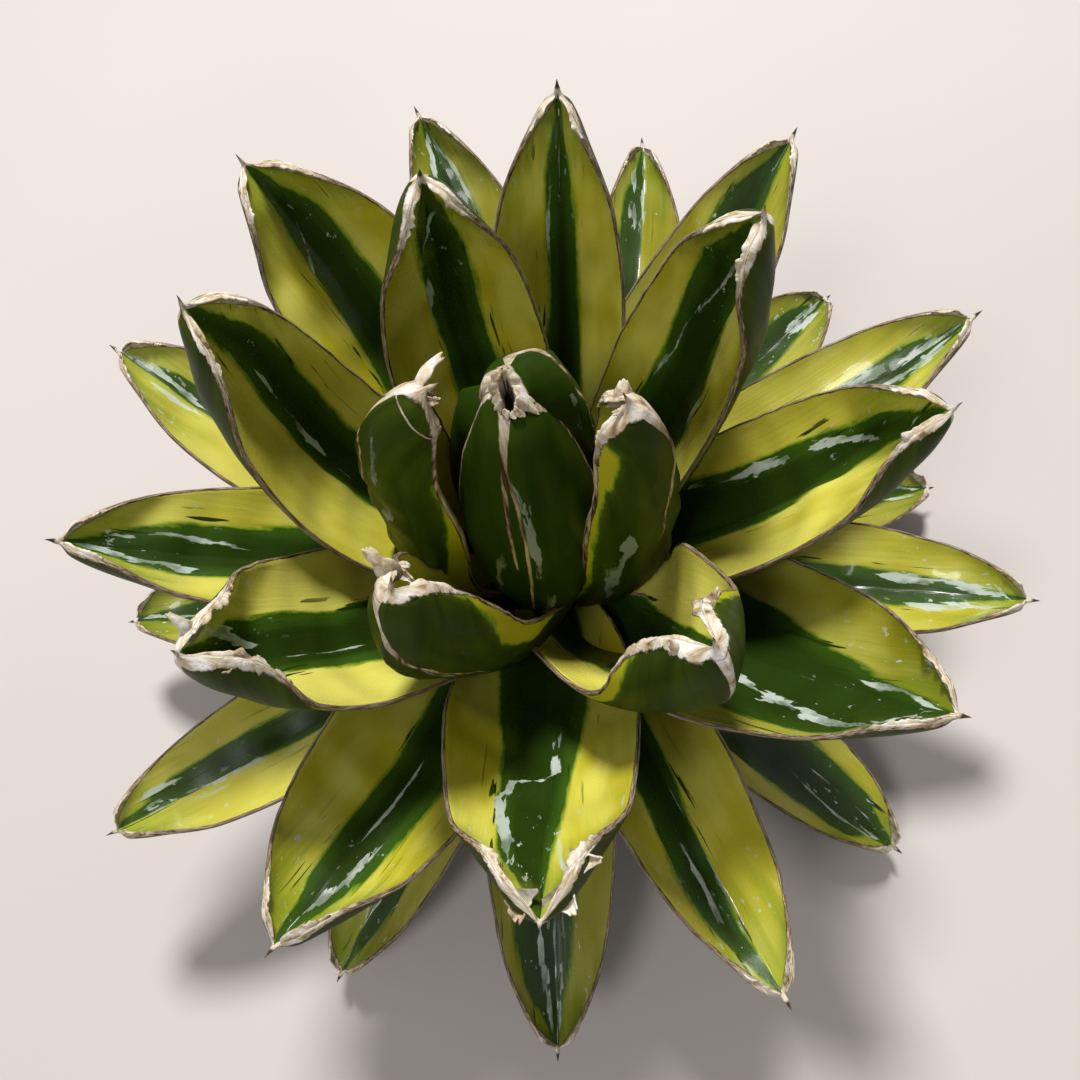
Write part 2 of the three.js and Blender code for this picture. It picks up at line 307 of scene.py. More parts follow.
# leaf looks: sizes in millimetres, shares of the half width or of the length
leafLooks = {
    # the blank: shares of its round over each face and round each margin; rows crowd to the tip
    "aroundPoints": 88, "rowSteps": (12, 9), "spineRows": 12, "faceShare": 0.4, "marginShare": 0.1,
    "rowCrowding": 1.3,
    # section: fold at the middle, how it closes at the hood, softness of the crease, fall of the back
    "foldStart": 0.3, "foldClose": (0.3, 0.6), "crease": 0.006, "backPower": 1.35,
    "rimThin": 0.52, "rimHooded": 0.6, "rimOut": 0.2, "rimLip": 0.07, "lipReach": 0.8, "hornWidth": 0.2,
    # unevenness in mm; the ripple is its turns, the lag between the margins and its share of the wobble
    "wobbleWidth": 0.012, "ripple": (11, 2.4, 0.18), "swell": 0.42,
    # neck and spine, for the two innermost leaves or plain hoods first
    "neckFrom": (0.965, 0.975), "spineThin": (0.62, 0.5), "spineLow": 0.4, "spineDroop": 0.3,
    "spineShown": 0.58, "spinePale": 0.35,
    "bandHalf": 0.38, "bandFlare": 0.2,
    "crustReach": 2.1, "crustFrom": 0.92, "crustSpread": 0.35, "crustRough": 1,
    "crustAside": {
        0: 3.4, 1: 3.4, 2: 2.4, 3: 3.2, 4: 3, 5: 2.6, 6: 2.7, 8: 2.8, 9: 3, 10: 2.8, 11: 3.2, 12: 2.6,
        14: 3, 16: 2.6, 19: 2.6,
    },
    "crustFromAside": {0: 0.88, 1: 0.88, 3: 0.86, 6: 0.84, 8: 0.88, 11: 0.92},
    # margins pressed down below the leaf that lies on them: side, share along, depth in mm
    "tuckAside": {8: (-1, 0.33, 1.8), 9: (-1, 0.2, 2), 14: (1, 0.24, 2.2)}, "tuckReach": 0.09,
    # half width in mm of the horny margin on a back
    "hornUnderAside": {-1: 0.5, -2: 0.8, -3: 0.8, 0: 0.45, 1: 0.5},
    # horny line along the keel of a back, as points: share along, place across, half width in mm
    "keelLine": (
        (0.55, 0, -0.6), (0.62, 0, 0.12), (0.8, 0, 0.28), (0.9, 0, 0.5), (0.96, 0, 0.9), (1, 0, 1.2),
    ),
    # dried cap on a back: its lower edge as points of a place across and a share along
    "capAside": {
        -2: (
            (-1, 0.93), (-0.93, 0.947), (-0.76, 0.978), (-0.4, 0.98), (-0.2, 0.955), (-0.05, 0.95),
            (0.1, 0.965), (0.25, 0.958), (0.42, 0.938), (0.66, 0.92), (1, 0.885),
        ),
        -3: ((-1, 0.975), (-0.3, 0.988), (0.3, 0.988), (1, 0.975)),
        -1: ((-1, 0.975), (0, 0.988), (1, 0.975)),
        0: (
            (-1, 0.9), (-0.31, 0.905), (-0.14, 0.952), (-0.02, 0.97), (0.38, 0.98), (0.66, 0.98),
            (0.89, 0.968), (1, 0.94),
        ),
        1: (
            (-1, 0.95), (-0.76, 0.958), (-0.42, 0.972), (-0.19, 0.962), (-0.14, 0.935), (-0.08, 0.89),
            (0, 0.84), (0.3, 0.86), (1, 0.95),
        ),
        3: ((-1, 0.955), (-0.4, 0.965), (0, 0.98), (0.6, 0.978), (1, 0.955)),
        6: ((-1, 0.955), (-0.7, 0.965), (-0.3, 0.98), (0.2, 0.98), (0.6, 0.975), (1, 0.955)),
        8: ((-1, 0.95), (0, 0.98), (0.7, 0.97), (1, 0.95)),
    },
    # yellow strip on the back beside the left (-1) or right (1) margin: share along and width in mm
    "backStripAside": {
        -1: {}, -2: {}, -3: {},
        0: {1: ((0.1, 5), (0.35, 3.8), (0.5, 2.6), (0.66, 1.2), (0.8, 0.3), (0.88, -1.5))},
        1: {-1: ((0.1, 1.4), (0.4, 1.5), (0.6, 1.4), (0.78, 1.6), (0.86, 2.8), (0.92, 2.8), (0.96, 0.5))},
        3: {
            1: (
                (0.3, -1.5), (0.42, 3.2), (0.55, 4.6), (0.66, 4.2), (0.73, 2.6), (0.8, 1.2), (0.9, 0.9),
                (0.94, 0.3), (0.96, -1.5),
            ),
        },
        6: {-1: ((0.1, 2), (0.5, 2.2), (0.65, 2.6), (0.8, 1.8), (0.9, 0)), 1: ((0.1, 2), (0.9, 1.5))},
        8: {1: ((0.1, 3), (0.6, 2), (0.8, 0.5), (0.86, -1.5))},
    },
    # how far the leaf colours are darkened towards deep green: partly age, partly painted shade on the outer
    # leaves
    "dimAside": {
        8: 0, 12: 0.32, 13: 0.16, 14: 0.5, 15: 0.58, 16: 0.2, 17: 0.18, 18: 0.3, 19: 0.2, 20: 0.5, 21: 0.24,
        24: 0.54, 25: 0.48, 26: 0.52, 27: 0.06, 29: 0.52, 30: 0.52,
    },
    # how much fresher and greener a back is than the usual olive
    "freshAside": {-1: 0.8, -2: 0.7, -3: 0.85},
    # how much paler the yellow of an upper face is
    "paleAside": {3: 0.4, 5: 0.25, 6: 0.7, 8: 0.8, 9: 0.3, 13: 0.25, 17: 0.35, 18: 0.5, 21: 0.4},
    # horny lines on a back, two at most, as points: share along, place across, half width in mm
    "backLineAside": {
        -2: (
            (
                (0.55, -0.185, 0.1), (0.583, -0.19, 0.2), (0.65, -0.2, 0.26), (0.731, -0.2, 0.28),
                (0.8, -0.2, 0.32), (0.861, -0.185, 0.35), (0.9, -0.17, 0.4), (0.93, -0.14, 0.52),
                (0.96, -0.1, 0.65),
            ),
            (
                (0.33, -0.14, 0.1), (0.386, -0.13, 0.2), (0.5, -0.1, 0.26), (0.648, -0.08, 0.3),
                (0.7, -0.07, 0.3), (0.789, -0.11, 0.3), (0.83, -0.16, 0.25), (0.861, -0.185, 0.2),
            ),
        ),
        -3: (
            (
                (0.5, -0.5, 0.12), (0.627, -0.37, 0.25), (0.669, -0.32, 0.3), (0.78, -0.3, 0.36),
                (0.817, -0.19, 0.45), (0.844, -0.08, 0.5), (0.903, 0.03, 0.55), (0.95, 0.12, 0.6),
            ),
        ),
        -1: (),
        0: (
            ((0.5, 0, 0.1), (0.594, -0.02, 0.2), (0.7, 0.08, 0.22), (0.817, 0.13, 0.26), (0.9, -0.16, 0.4)),
        ),
        1: (
            (
                (0.5, -0.27, 0.1), (0.572, -0.25, 0.2), (0.69, -0.19, 0.3), (0.78, -0.04, 0.32),
                (0.86, 0, 0.5),
            ),
        ),
        3: (
            (
                (0.5, 0.36, 0.1), (0.62, 0.34, 0.2), (0.78, 0.26, 0.25), (0.87, 0.13, 0.3),
                (0.92, -0.02, 0.45), (0.954, -0.25, 0.7),
            ),
        ),
    },
    # one thin horny line across a back: place across, share along, half width in mm
    "crossLineAside": {
        0: ((-0.08, 0.963, 0.1), (0.26, 0.96, 0.15), (0.49, 0.954, 0.15), (0.83, 0.947, 0.15)),
    },
    # offset in mm of a line or imprint that isn't there
    "faraway": 30,
    # silvery streaks on a back, as the imprints below
    "backImprint": ((0.35, (0.8, 0.1), (0.6, 0.12), (0.4, 0.1)),),
    "backImprintAside": {
        -2: (
            (1.3, (0.82, -0.1), (0.74, -0.07), (0.66, -0.05), (0.6, -0.01), (0.5, 0), (0.3, 0.03)),
            (0.9, (0.63, -0.27), (0.48, -0.33), (0.35, -0.38)),
        ),
        -3: ((1.4, (0.8, -0.48), (0.741, -0.58), (0.69, -0.62)),),
        0: ((0.9, (0.895, 0.15), (0.835, 0.3), (0.71, 0.32), (0.561, 0.26)),),
        1: ((1.5, (0.62, -0.57), (0.594, -0.59), (0.445, -0.68), (0.172, -0.65)),),
        3: ((0.5, (0.8, 0.2), (0.7, 0.26), (0.55, 0.3)),),
    },
    # green band on an upper face: left and right edge near the tip and half way, as shares of half the width
    "bandAside": {
        2: (-0.45, 0.3, -0.38, 0.22), 4: (0.2, 0.72, -0.3, 0.5), 5: (-0.75, -0.3, -0.55, 0.02),
        6: (-0.2, 0.45, -0.5, 0.4), 7: (-0.25, 0.28, -0.32, 0.2), 8: (-0.55, 0.25, -0.4, 0.32),
        9: (0.15, 0.6, -0.15, 0.58), 10: (-0.5, 0.2, -0.32, 0.35), 11: (-0.5, 0.1, -0.45, 0.4),
        12: (-0.2, 0.68, -0.2, 0.52), 13: (-0.45, 0.5, -0.5, 0.35), 14: (-0.88, 0.26, -0.66, 0.56),
        15: (-0.3, 0.4, -0.35, 0.35), 16: (-0.3, 0.45, -0.25, 0.5), 17: (-0.4, 0.4, -0.28, 0.2),
        18: (-0.35, 0.1, -0.4, 0.12), 19: (-0.68, -0.18, -0.45, 0.15), 20: (0.1, 0.6, 0, 0.5),
        21: (-0.5, -0.08, -0.4, 0.2), 22: (-0.3, 0.3, -0.35, 0.35), 24: (-0.72, 0.3, -0.65, 0.45),
        25: (-0.3, 0.55, -0.35, 0.4), 27: (-0.72, 0.62, -0.6, 0.55), 29: (0, 0.5, -0.1, 0.45),
    },
    # silvery imprints of neighbouring leaves, some of them painted highlights along the glossy face:
    # strength, then points of a share along and a place across
    "imprintsAndHighlightsAside": {
        2: ((0.9, (0.9, -0.3), (0.86, 0), (0.81, 0.25)), (0.7, (0.72, 0.24), (0.62, 0.28), (0.5, 0.25))),
        5: ((0.8, (0.78, -0.35), (0.66, -0.28), (0.4, -0.1)),),
        7: ((0.6, (0.82, 0.2), (0.7, 0.24), (0.58, 0.2)), (0.5, (0.9, -0.05), (0.84, 0), (0.78, 0.02))),
        8: (
            (1.5, (0.95, -0.5), (0.86, -0.38), (0.76, -0.22)),
            (0.6, (0.72, 0.05), (0.6, 0.08), (0.46, 0.1)),
        ),
        9: (
            (1.1, (0.87, 0.15), (0.72, 0.5), (0.42, 0.52), (0.3, 0.62)),
            (0.5, (0.92, 0.3), (0.88, 0.1), (0.84, 0.05)),
        ),
        10: ((0.7, (0.86, -0.15), (0.8, 0.1), (0.72, 0.3)),),
        11: (
            (1.5, (0.91, -0.75), (0.86, -0.45), (0.66, -0.5), (0.6, -0.35), (0.575, 0.15), (0.44, 0.22)),
            (1, (0.94, 0.55), (0.84, 0.25), (0.78, 0.22)), (0.9, (0.92, -0.1), (0.87, 0.05), (0.84, 0.1)),
        ),
        13: ((1.7, (0.96, 0.05), (0.86, 0.33), (0.72, 0.3)), (0.7, (0.9, -0.4), (0.8, -0.35), (0.6, -0.2))),
        14: (
            (1.4, (0.94, -0.85), (0.8, -0.6), (0.65, -0.45), (0.48, -0.28)),
            (1.2, (0.96, 0.05), (0.88, 0.22), (0.78, 0.18)),
            (0.9, (0.95, -0.2), (0.91, -0.5), (0.86, -0.8)),
        ),
        15: ((1.3, (0.95, 0.1), (0.88, 0.3), (0.8, 0.45)), (1, (0.95, -0.1), (0.86, -0.3), (0.76, -0.35))),
        16: (
            (1.6, (0.95, 0), (0.84, 0.25), (0.72, 0.34)), (0.9, (0.72, 0.05), (0.6, 0.12), (0.5, 0.12)),
            (0.9, (0.96, 0.1), (0.94, -0.2), (0.92, -0.45)),
        ),
        17: (
            (1.9, (0.95, 0.1), (0.82, 0.2), (0.66, 0.24)), (1.3, (0.93, -0.3), (0.82, -0.28), (0.7, -0.12)),
        ),
        18: ((1.4, (0.96, -0.3), (0.86, -0.12), (0.76, 0)), (0.9, (0.9, 0.3), (0.82, 0.28), (0.76, 0.2))),
        19: (
            (1, (0.9, -0.55), (0.74, -0.38), (0.58, -0.25)), (0.7, (0.86, -0.15), (0.72, -0.05), (0.5, 0)),
            (0.7, (0.95, -0.3), (0.93, -0.6), (0.9, -0.8)),
        ),
        20: ((1.9, (0.96, -0.2), (0.86, 0), (0.75, 0.18)), (1.2, (0.93, 0.5), (0.85, 0.42), (0.76, 0.3))),
        21: (
            (1.6, (0.93, -0.35), (0.82, -0.12), (0.7, 0.1), (0.56, 0.3)),
            (1, (0.92, 0.05), (0.82, 0.2), (0.7, 0.35)), (0.8, (0.92, -0.6), (0.84, -0.5), (0.76, -0.4)),
        ),
        22: (
            (1.6, (0.93, -0.5), (0.8, -0.45), (0.64, -0.25)),
            (1.5, (0.94, 0.1), (0.83, 0.28), (0.66, 0.26)), (1, (0.96, -0.2), (0.94, 0.2), (0.92, 0.5)),
        ),
        24: (
            (1.1, (0.96, -0.25), (0.86, -0.28), (0.72, -0.3)), (0.8, (0.95, 0.2), (0.85, 0.25), (0.7, 0.2)),
        ),
        25: ((1.6, (0.97, 0.3), (0.9, 0.12), (0.8, 0.05)), (1, (0.95, -0.3), (0.88, -0.2), (0.82, -0.1))),
        26: ((1.4, (0.97, -0.2), (0.9, 0.1), (0.82, 0.2)),),
        27: ((0.8, (0.94, -0.4), (0.82, -0.35), (0.66, -0.2)), (0.6, (0.9, 0.2), (0.8, 0.25), (0.7, 0.2))),
        30: ((1.5, (0.96, 0.1), (0.9, 0.25), (0.84, 0.4)), (1, (0.95, -0.3), (0.88, -0.3), (0.84, -0.2))),
    },
}


def openLeaf(index):
    rule, looks = leafRule, leafLooks
    age = index / rule["ageSpan"]
    young = math.exp(-index / rule["youngFade"])
    inner = math.exp(-index / rule["innerFade"])
    outer = min(1, index / 20)
    fall = (rule["riseOuter"] - rule["riseInner"]) * age ** rule["riseBend"]
    full = rule["length"] * (1 - (1 - rule["shortInner"]) * young) + rule["heartSink"] * inner
    turn = rule["firstTurn"] + rule["divergence"] * index + rule["turnAside"].get(index, 0)
    foot = rule["baseRadius"] + rule["baseSpread"] * index / rule["count"]
    usualFold = rule["foldOuter"] + rule["foldInner"] * inner
    return {
        "node": f"leaf_{index + 1:02d}", "index": index,
        "turn": turn,
        "rise": rule["riseInner"] + fall + rule["leanAside"].get(index, 0),
        "length": full * rule["lengthAside"].get(index, 1),
        "foot": foot + rule["outAside"].get(index, 0),
        "drop": rule["baseDrop"] * age + rule["heartSink"] * inner,
        "shift": rule["heartShift"] * inner,
        "bow": rule["bowAside"].get(index, rule["bowInner"] * (1 - outer)),
        "bowPower": rule["bowPowerAside"].get(index, 2),
        "bend": rule["bendAside"].get(index, 0),
        "roll": rule["rollAside"].get(index, 0),
        "closeFrom": rule["closeFromAside"].get(index, rule["closeFrom"]),
        "closeFold": rule["closeFoldAside"].get(index, rule["closeFold"]),
        "footShare": rule["footAside"].get(index, rule["footWidth"]),
        "wave": rule["waveAside"].get(index, rule["wave"]),
        "phase": rule["phaseAside"].get(index, turn),
        "hood": rule["hoodAside"].get(index, 0.5),
        "fold": rule["foldAside"].get(index, usualFold),
        "width": rule["halfWidth"] * rule["widthAside"].get(index, 1),
        "crust": looks["crustAside"].get(index, looks["crustReach"] * (1 - 0.2 * outer)),
        "crustFrom": looks["crustFromAside"].get(index, looks["crustFrom"]),
    }


def heartLeaf(order):
    rule = leafRule
    leaf = {
        "node": f"heart_leaf_{order + 1}", "index": -1 - order,
        "drop": rule["heartSink"], "shift": rule["heartShift"], "bend": 0, "bowPower": 2, "roll": 0,
        "closeFrom": rule["closeFrom"], "closeFold": rule["closeFold"], "footShare": rule["footWidth"],
        "wave": rule["wave"], "hood": 1, "crust": 3.0, "crustFrom": 0.88, "phase": heartLeaves[order]["turn"],
    }
    leaf.update(heartLeaves[order])
    return leaf


def modelTube(name, around, steps, ends="NOTHING"):
    # a tube of even rings; its edges are cut in steps, as one call makes a hundred cuts at most
    deselectAll()
    bpy.ops.mesh.primitive_cylinder_add(vertices=around, depth=1, end_fill_type=ends, location=(0, 0, 0.5))
    tube = bpy.context.object
    tube.name = name
    bpy.ops.object.transform_apply(location=True, rotation=True, scale=True)
    bpy.ops.object.mode_set(mode="EDIT")
    bpy.ops.mesh.select_mode(type="EDGE")
    tall = 1.0
    for parts in steps:
        bpy.ops.mesh.select_all(action="DESELECT")
        shape = bmesh.from_edit_mesh(tube.data)
        for edge in shape.edges:
            edge.select_set(abs(edge.verts[0].co.z - edge.verts[1].co.z) > 0.5 * tall)
        bmesh.update_edit_mesh(tube.data)
        bpy.ops.mesh.subdivide(number_cuts=parts - 1)
        tall /= parts
    bpy.ops.object.mode_set(mode="OBJECT")
    bpy.ops.object.shade_smooth()
    return tube


def placeRing(blank):
    # up the tube is along the leaf, and round it is over the face, round the right margin, back under
    # the keel and round the left margin: each vertex gets a share along, a place across and a side
    looks = leafLooks
    points = verticesOf(blank.data)
    rows = math.prod(looks["rowSteps"])
    bladeRows = rows - looks["spineRows"]
    row = np.rint(points[:, 2] * rows)
    turn = (-np.arctan2(points[:, 1], points[:, 0]) / (2 * np.pi)) % 1.0
    face, margin = looks["faceShare"], looks["marginShare"]
    underFrom, leftFrom = face + margin, 2 * face + margin
    upper, under = turn < face, (turn >= underFrom) & (turn < leftFrom)
    right, left = (turn >= face) & (turn < underFrom), turn >= leftFrom
    marks = (upper, under, right, left)
    across = np.select(marks, (-1 + 2 * turn / face, 1 - 2 * (turn - underFrom) / face, 1.0, -1.0))
    rimTurn = np.select((right, left), ((turn - face) / margin, (1.0 - turn) / margin)) * np.pi
    share = np.clip(row / bladeRows, 0, 1)
    return {
        "along": 1 - (1 - share) ** looks["rowCrowding"], "across": across,
        "side": np.select((upper, under), (1.0, -1.0), np.cos(rimTurn)), "rimTurn": rimTurn,
        "spine": np.clip((row - bladeRows) / looks["spineRows"], 0, 1),
        "centre": np.hypot(points[:, 0], points[:, 1]) < 0.5, "rim": right | left, "turn": turn,
    }


def widthShare(s, hood, foot):
    # half width along a leaf: out to the widest place, then in to a tip that is blunter where hooded
    widest = leafRule["widestAt"]
    fullness, pointed, blunter = 2.1, 0.75, 0.27
    low = foot + (1 - foot) * np.sin(np.pi / 2 * np.minimum(1, s / widest))
    q = np.clip((s - widest) / (1 - widest), 0, 1)
    return np.where(s < widest, low, np.maximum(0, 1 - q ** fullness) ** (pointed - blunter * hood))


def depthShare(s):
    # depth of the keel along a leaf: thin foot, full by the swell, falling off and rounded at the tip
    footDepth, swellEnd, fallOff, tipPower = 0.62, 0.4, 0.2, 8
    swell = footDepth + (1 - footDepth) * np.sin(np.pi / 2 * np.minimum(1, s / swellEnd))
    return swell * (1 - fallOff * s) * np.sqrt(np.maximum(0, 1 - s ** tipPower))


def sectionPoints(leaf, ring):
    # places across and up from the middle line, the half width and the way in from the margin, all in mm
    rule, looks = leafRule, leafLooks
    s, size, hand = ring["along"], np.abs(ring["across"]), np.where(ring["across"] < 0, -1.0, 1.0)
    hood = leaf["hood"]
    close = easeStep(s, leaf["closeFrom"], 1)
    wobble = marginWobble(leaf, s, hand)
    width = leaf["width"] * widthShare(s, hood, leaf["footShare"]) * (1 + looks["wobbleWidth"] * wobble)
    closing = close * (looks["foldClose"][0] + looks["foldClose"][1] * hood)
    fold = np.radians(leaf["fold"] + (leaf["closeFold"] - leaf["fold"]) * closing)
    start = looks["foldStart"] * fold
    curl = fold - start
    depth = np.maximum(rule["marginThick"], rule["keelDepth"] * depthShare(s))
    edge = looks["rimThin"] * rule["marginThick"] * (1 + looks["rimHooded"] * hood * close)
    # the trough is an arc with a soft crease, and the back is the thickness below it
    crease = looks["crease"]
    soft = np.sqrt(size ** 2 + crease) - math.sqrt(crease) * (1 - size ** 2)
    heading = start + curl * np.where(ring["side"] > 0.99, soft, size)
    x = width * (np.sin(heading) - np.sin(start)) / curl
    y = width * (np.cos(start) - np.cos(heading)) / curl
    fromMargin = (1 - size) * width
    lip = looks["rimLip"] * np.exp(-(fromMargin / looks["lipReach"]) ** 2)
    thick = edge + (depth - edge) * (1 - size ** looks["backPower"]) + lip
    downTurn = heading * easeStep(size, 0, 0.5)
    under = ring["side"] < -0.99
    px = np.where(under, x + np.sin(downTurn) * thick, x - np.sin(heading) * lip)
    py = np.where(under, y - np.cos(downTurn) * thick, y + np.cos(heading) * lip)
    # the margin is half a round that stands out a little
    inward = edge / 2 - (edge / 2 + looks["rimLip"]) * np.cos(ring["rimTurn"])
    outward = looks["rimOut"] * np.sin(ring["rimTurn"])
    px = np.where(ring["rim"], x + np.sin(heading) * inward + np.cos(heading) * outward, px) * hand
    py = np.where(ring["rim"], y - np.cos(heading) * inward + np.sin(heading) * outward, py)
    py += size ** 2 * marginRipple(leaf, s, hand, wobble)
    py += unevenness(leaf, s, ring["across"]) * (1 - size ** 4)
    tuckSide, tuckAt, tuckDeep = looks["tuckAside"].get(leaf["index"], (1, 0, 0))
    tucked = np.exp(-((s - tuckAt) / looks["tuckReach"]) ** 2) * (hand == tuckSide)
    py -= tuckDeep * size ** 3 * tucked
    roll = np.radians(leaf["roll"]) * easeStep(s, 0, 0.6)
    px, py = px * np.cos(roll) - py * np.sin(roll), px * np.sin(roll) + py * np.cos(roll)
    px, py = intoSpine(leaf, ring, px, py)
    px = np.where(ring["centre"], 0, px)
    py = np.where(ring["centre"], np.where(s < 0.5, -depth / 2, 0), py)
    return px, py, width, fromMargin


def intoSpine(leaf, ring, px, py):
    # the blade runs out into a round neck below the spine
    looks, spine = leafLooks, ring["spine"]
    neck = easeStep(ring["along"], looks["neckFrom"][leaf["index"] >= 2], 1)
    angle = np.pi - 2 * np.pi * ((ring["turn"] + looks["marginShare"] / 2) % 1.0)
    radius = looks["spineThin"][leaf["hood"] >= 0.8] * leafRule["spineRadius"] * (1 - spine) ** 0.9
    radius = radius * (1 + 0.1 * np.sin(np.pi * np.clip(spine / 0.3, 0, 1)))
    px = px * (1 - neck) + neck * radius * np.cos(angle)
    py = py * (1 - neck) + neck * (radius * np.sin(angle) - looks["spineLow"] * (1 - spine))
    return px, py


def marginRipple(leaf, s, hand, wobble):
    # the margins wave up and down along the leaf, each in its own phase
    turns, split, uneven = leafLooks["ripple"]
    wave = np.sin(np.pi * s) * np.sin(turns * s + split * hand + leaf["phase"])
    return leaf["wave"] * wave + uneven * wobble


def unevenness(leaf, s, a):
    # shallow swells of a thick leaf, in mm
    draw = random.Random(400 + leaf["index"])
    total = np.zeros(len(s))
    for cycles in (3, 5, 8, 12):
        phase, slant = draw.uniform(0, 6.28), draw.uniform(-3, 3)
        swell = np.sin(2 * np.pi * cycles * s * 0.7 + slant * a + phase)
        total += leafLooks["swell"] / math.sqrt(cycles) * swell
    return total * easeStep(s, 0.15, 0.5) * (1 - easeStep(s, 0.9, 1))


def marginWobble(leaf, s, hand):
    # slow uneven swing of each margin, one value a row and side
    table = np.linspace(0, 1, 161)
    turn = leaf["turn"] * 0.37
    swings = [[
        noise.noise(Vector((t * 9, turn, sign * 4.1))) + 0.5 * noise.noise(Vector((t * 31, turn, sign * 9.3)))
        for t in table] for sign in (-1.0, 1.0)]
    return np.where(hand < 0, *(np.interp(s, table, swing) for swing in swings))


def leafAxis(leaf, s):
    # the middle line of the leaf, in millimetres
    rule = leafRule
    turn, rise = math.radians(leaf["turn"]), math.radians(leaf["rise"])
    out = np.array([math.cos(turn), math.sin(turn), 0.0])
    aside = np.array([-math.sin(turn), math.cos(turn), 0.0])
    swell = (1 - np.abs(2 * s - 1) ** leaf["bowPower"]) * leaf["length"]
    reach = s * (leaf["length"] - rule["spineLength"])
    sag = leaf["bow"] * swell
    radius = leaf["foot"] + reach * math.cos(rise) + sag * math.sin(rise)
    z = rule["apexHeight"] - leaf["drop"] + reach * math.sin(rise) - sag * math.cos(rise)
    points = radius[:, None] * out + np.array([0, -leaf["shift"], 0]) + z[:, None] * np.array([0, 0, 1.0])
    return points + (leaf["bend"] * swell)[:, None] * aside, aside


def leafFrame(leaf, s):
    # middle line of a leaf with its sideways, upward and forward directions
    middle, aside = leafAxis(leaf, s)
    tangent = unit(leafAxis(leaf, s + 0.01)[0] - leafAxis(leaf, s - 0.01)[0])
    return middle, aside, unit(np.cross(tangent, aside)), tangent


# mouth of the heart: a narrow hollow between torn lips, in millimetres
mouthLooks = {
    "middle": (0.0, -5.5), "hollow": (1.6, 2.7), "hollowEdge": (0.7, 1.15), "floor": 117.0, "deep": 3.4,
    "around": 90, "rings": 26, "slit": (1.25, 2.4), "lipLeft": 1.2, "lipRight": 1.8, "lipLong": 1.1,
    "crown": 122.9, "slope": 0.45, "sides": 0.26, "low": -2.9, "stand": 0.9, "standBack": 0.9, "torn": 0.9,
    # dark: how far the painted shade darkens the inside of the mouth
    "sway": 0.35, "lift": 0.12, "dark": 0.97, "leftShade": 0.3,
}


def shapeLeaf(piece, leaf, ring):
    looks = leafLooks
    middle, aside, normal, tangent = leafFrame(leaf, ring["along"])
    x, y, width, fromMargin = sectionPoints(leaf, ring)
    reach = (ring["spine"] * leafRule["spineLength"] * looks["spineShown"])[:, None]
    droop = (looks["spineDroop"] * ring["spine"] ** 2)[:, None]
    points = middle + aside * x[:, None] + normal * (y[:, None] - droop) + tangent * reach
    hollow = np.zeros(len(points))
    if leaf["node"] == "heart_leaf_2":
        centre, half = mouthLooks["middle"], mouthLooks["hollow"]
        gap = np.hypot((points[:, 0] - centre[0]) / half[0], (points[:, 1] - centre[1]) / half[1])
        # the hollow is sunk, and its share is kept for the painted shade inside it
        hollow = (1 - easeStep(gap, *mouthLooks["hollowEdge"])) * (points[:, 2] > mouthLooks["floor"])
        points[:, 2] -= mouthLooks["deep"] * hollow
    setVertices(piece.data, points)
    writeMarks(piece.data, leaf, ring, width, fromMargin)
    writeMark(piece.data, "hollowShadeShare", hollow)


def facePoints(leaf, s, across, side):
    # points on the upper (side 1) or lower (-1) face of a leaf, in mm
    still = np.zeros(len(s))
    ring = {
        "along": s, "across": still + across, "side": still + side, "rimTurn": still, "spine": still,
        "centre": still > 1, "rim": still > 1, "turn": still + 0.2,
    }
    x, y, _, _ = sectionPoints(leaf, ring)
    middle, aside, normal, _ = leafFrame(leaf, s)
    return middle + aside * x[:, None] + normal * y[:, None]


def marginLine(leaf, s, hand):
    # points on the rim of one margin, with the way out of the blade's edge and the way up from its face
    top, below = facePoints(leaf, s, hand, 1.0), facePoints(leaf, s, hand, -1.0)
    outward = unit(top - facePoints(leaf, s, 0.96 * hand, 1.0))
    upward = top - below
    upward = unit(upward - outward * np.sum(outward * upward, axis=1)[:, None])
    return (top + below) / 2, outward, upward


def bandAt(leaf, s, draw):
    # left and right edge of the green band at each share along
    half = leafLooks["bandHalf"] * draw.uniform(0.9, 1.1)
    drift = draw.uniform(-0.08, 0.08)
    plain = (drift - 0.8 * half, drift + 0.8 * half, drift - half, drift + half)
    tipLeft, tipRight, midLeft, midRight = leafLooks["bandAside"].get(leaf["index"], plain)
    flare, steps = leafLooks["bandFlare"], (0.1, 0.5, 0.85, 1.0)
    left = np.interp(s, steps, (midLeft - flare, midLeft, tipLeft, tipLeft * 0.4))
    right = np.interp(s, steps, (midRight + flare, midRight, tipRight, tipRight * 0.4))
    return left, right


def imprintsAndHighlightsOf(leaf, draw):
    # strength and points of each listed imprint and painted highlight streak; a leaf without its own gets an
    # arch, as from an inner leaf's tip
    if leaf["index"] in leafLooks["imprintsAndHighlightsAside"]:
        return leafLooks["imprintsAndHighlightsAside"][leaf["index"]]
    top, foot, wide = draw.uniform(0.8, 0.93), draw.uniform(0.4, 0.6), draw.uniform(0.3, 0.5)
    skew = draw.uniform(-0.12, 0.12)
    arms = []
    for reach in (-wide, wide):
        points = [(top - (top - foot) * t, skew + reach * math.sin(math.pi / 2 * t) ** 0.7)
                  for t in (0, 0.25, 0.6, 1)]
        arms.append((draw.uniform(0.3, 1.0), *points))
    return arms


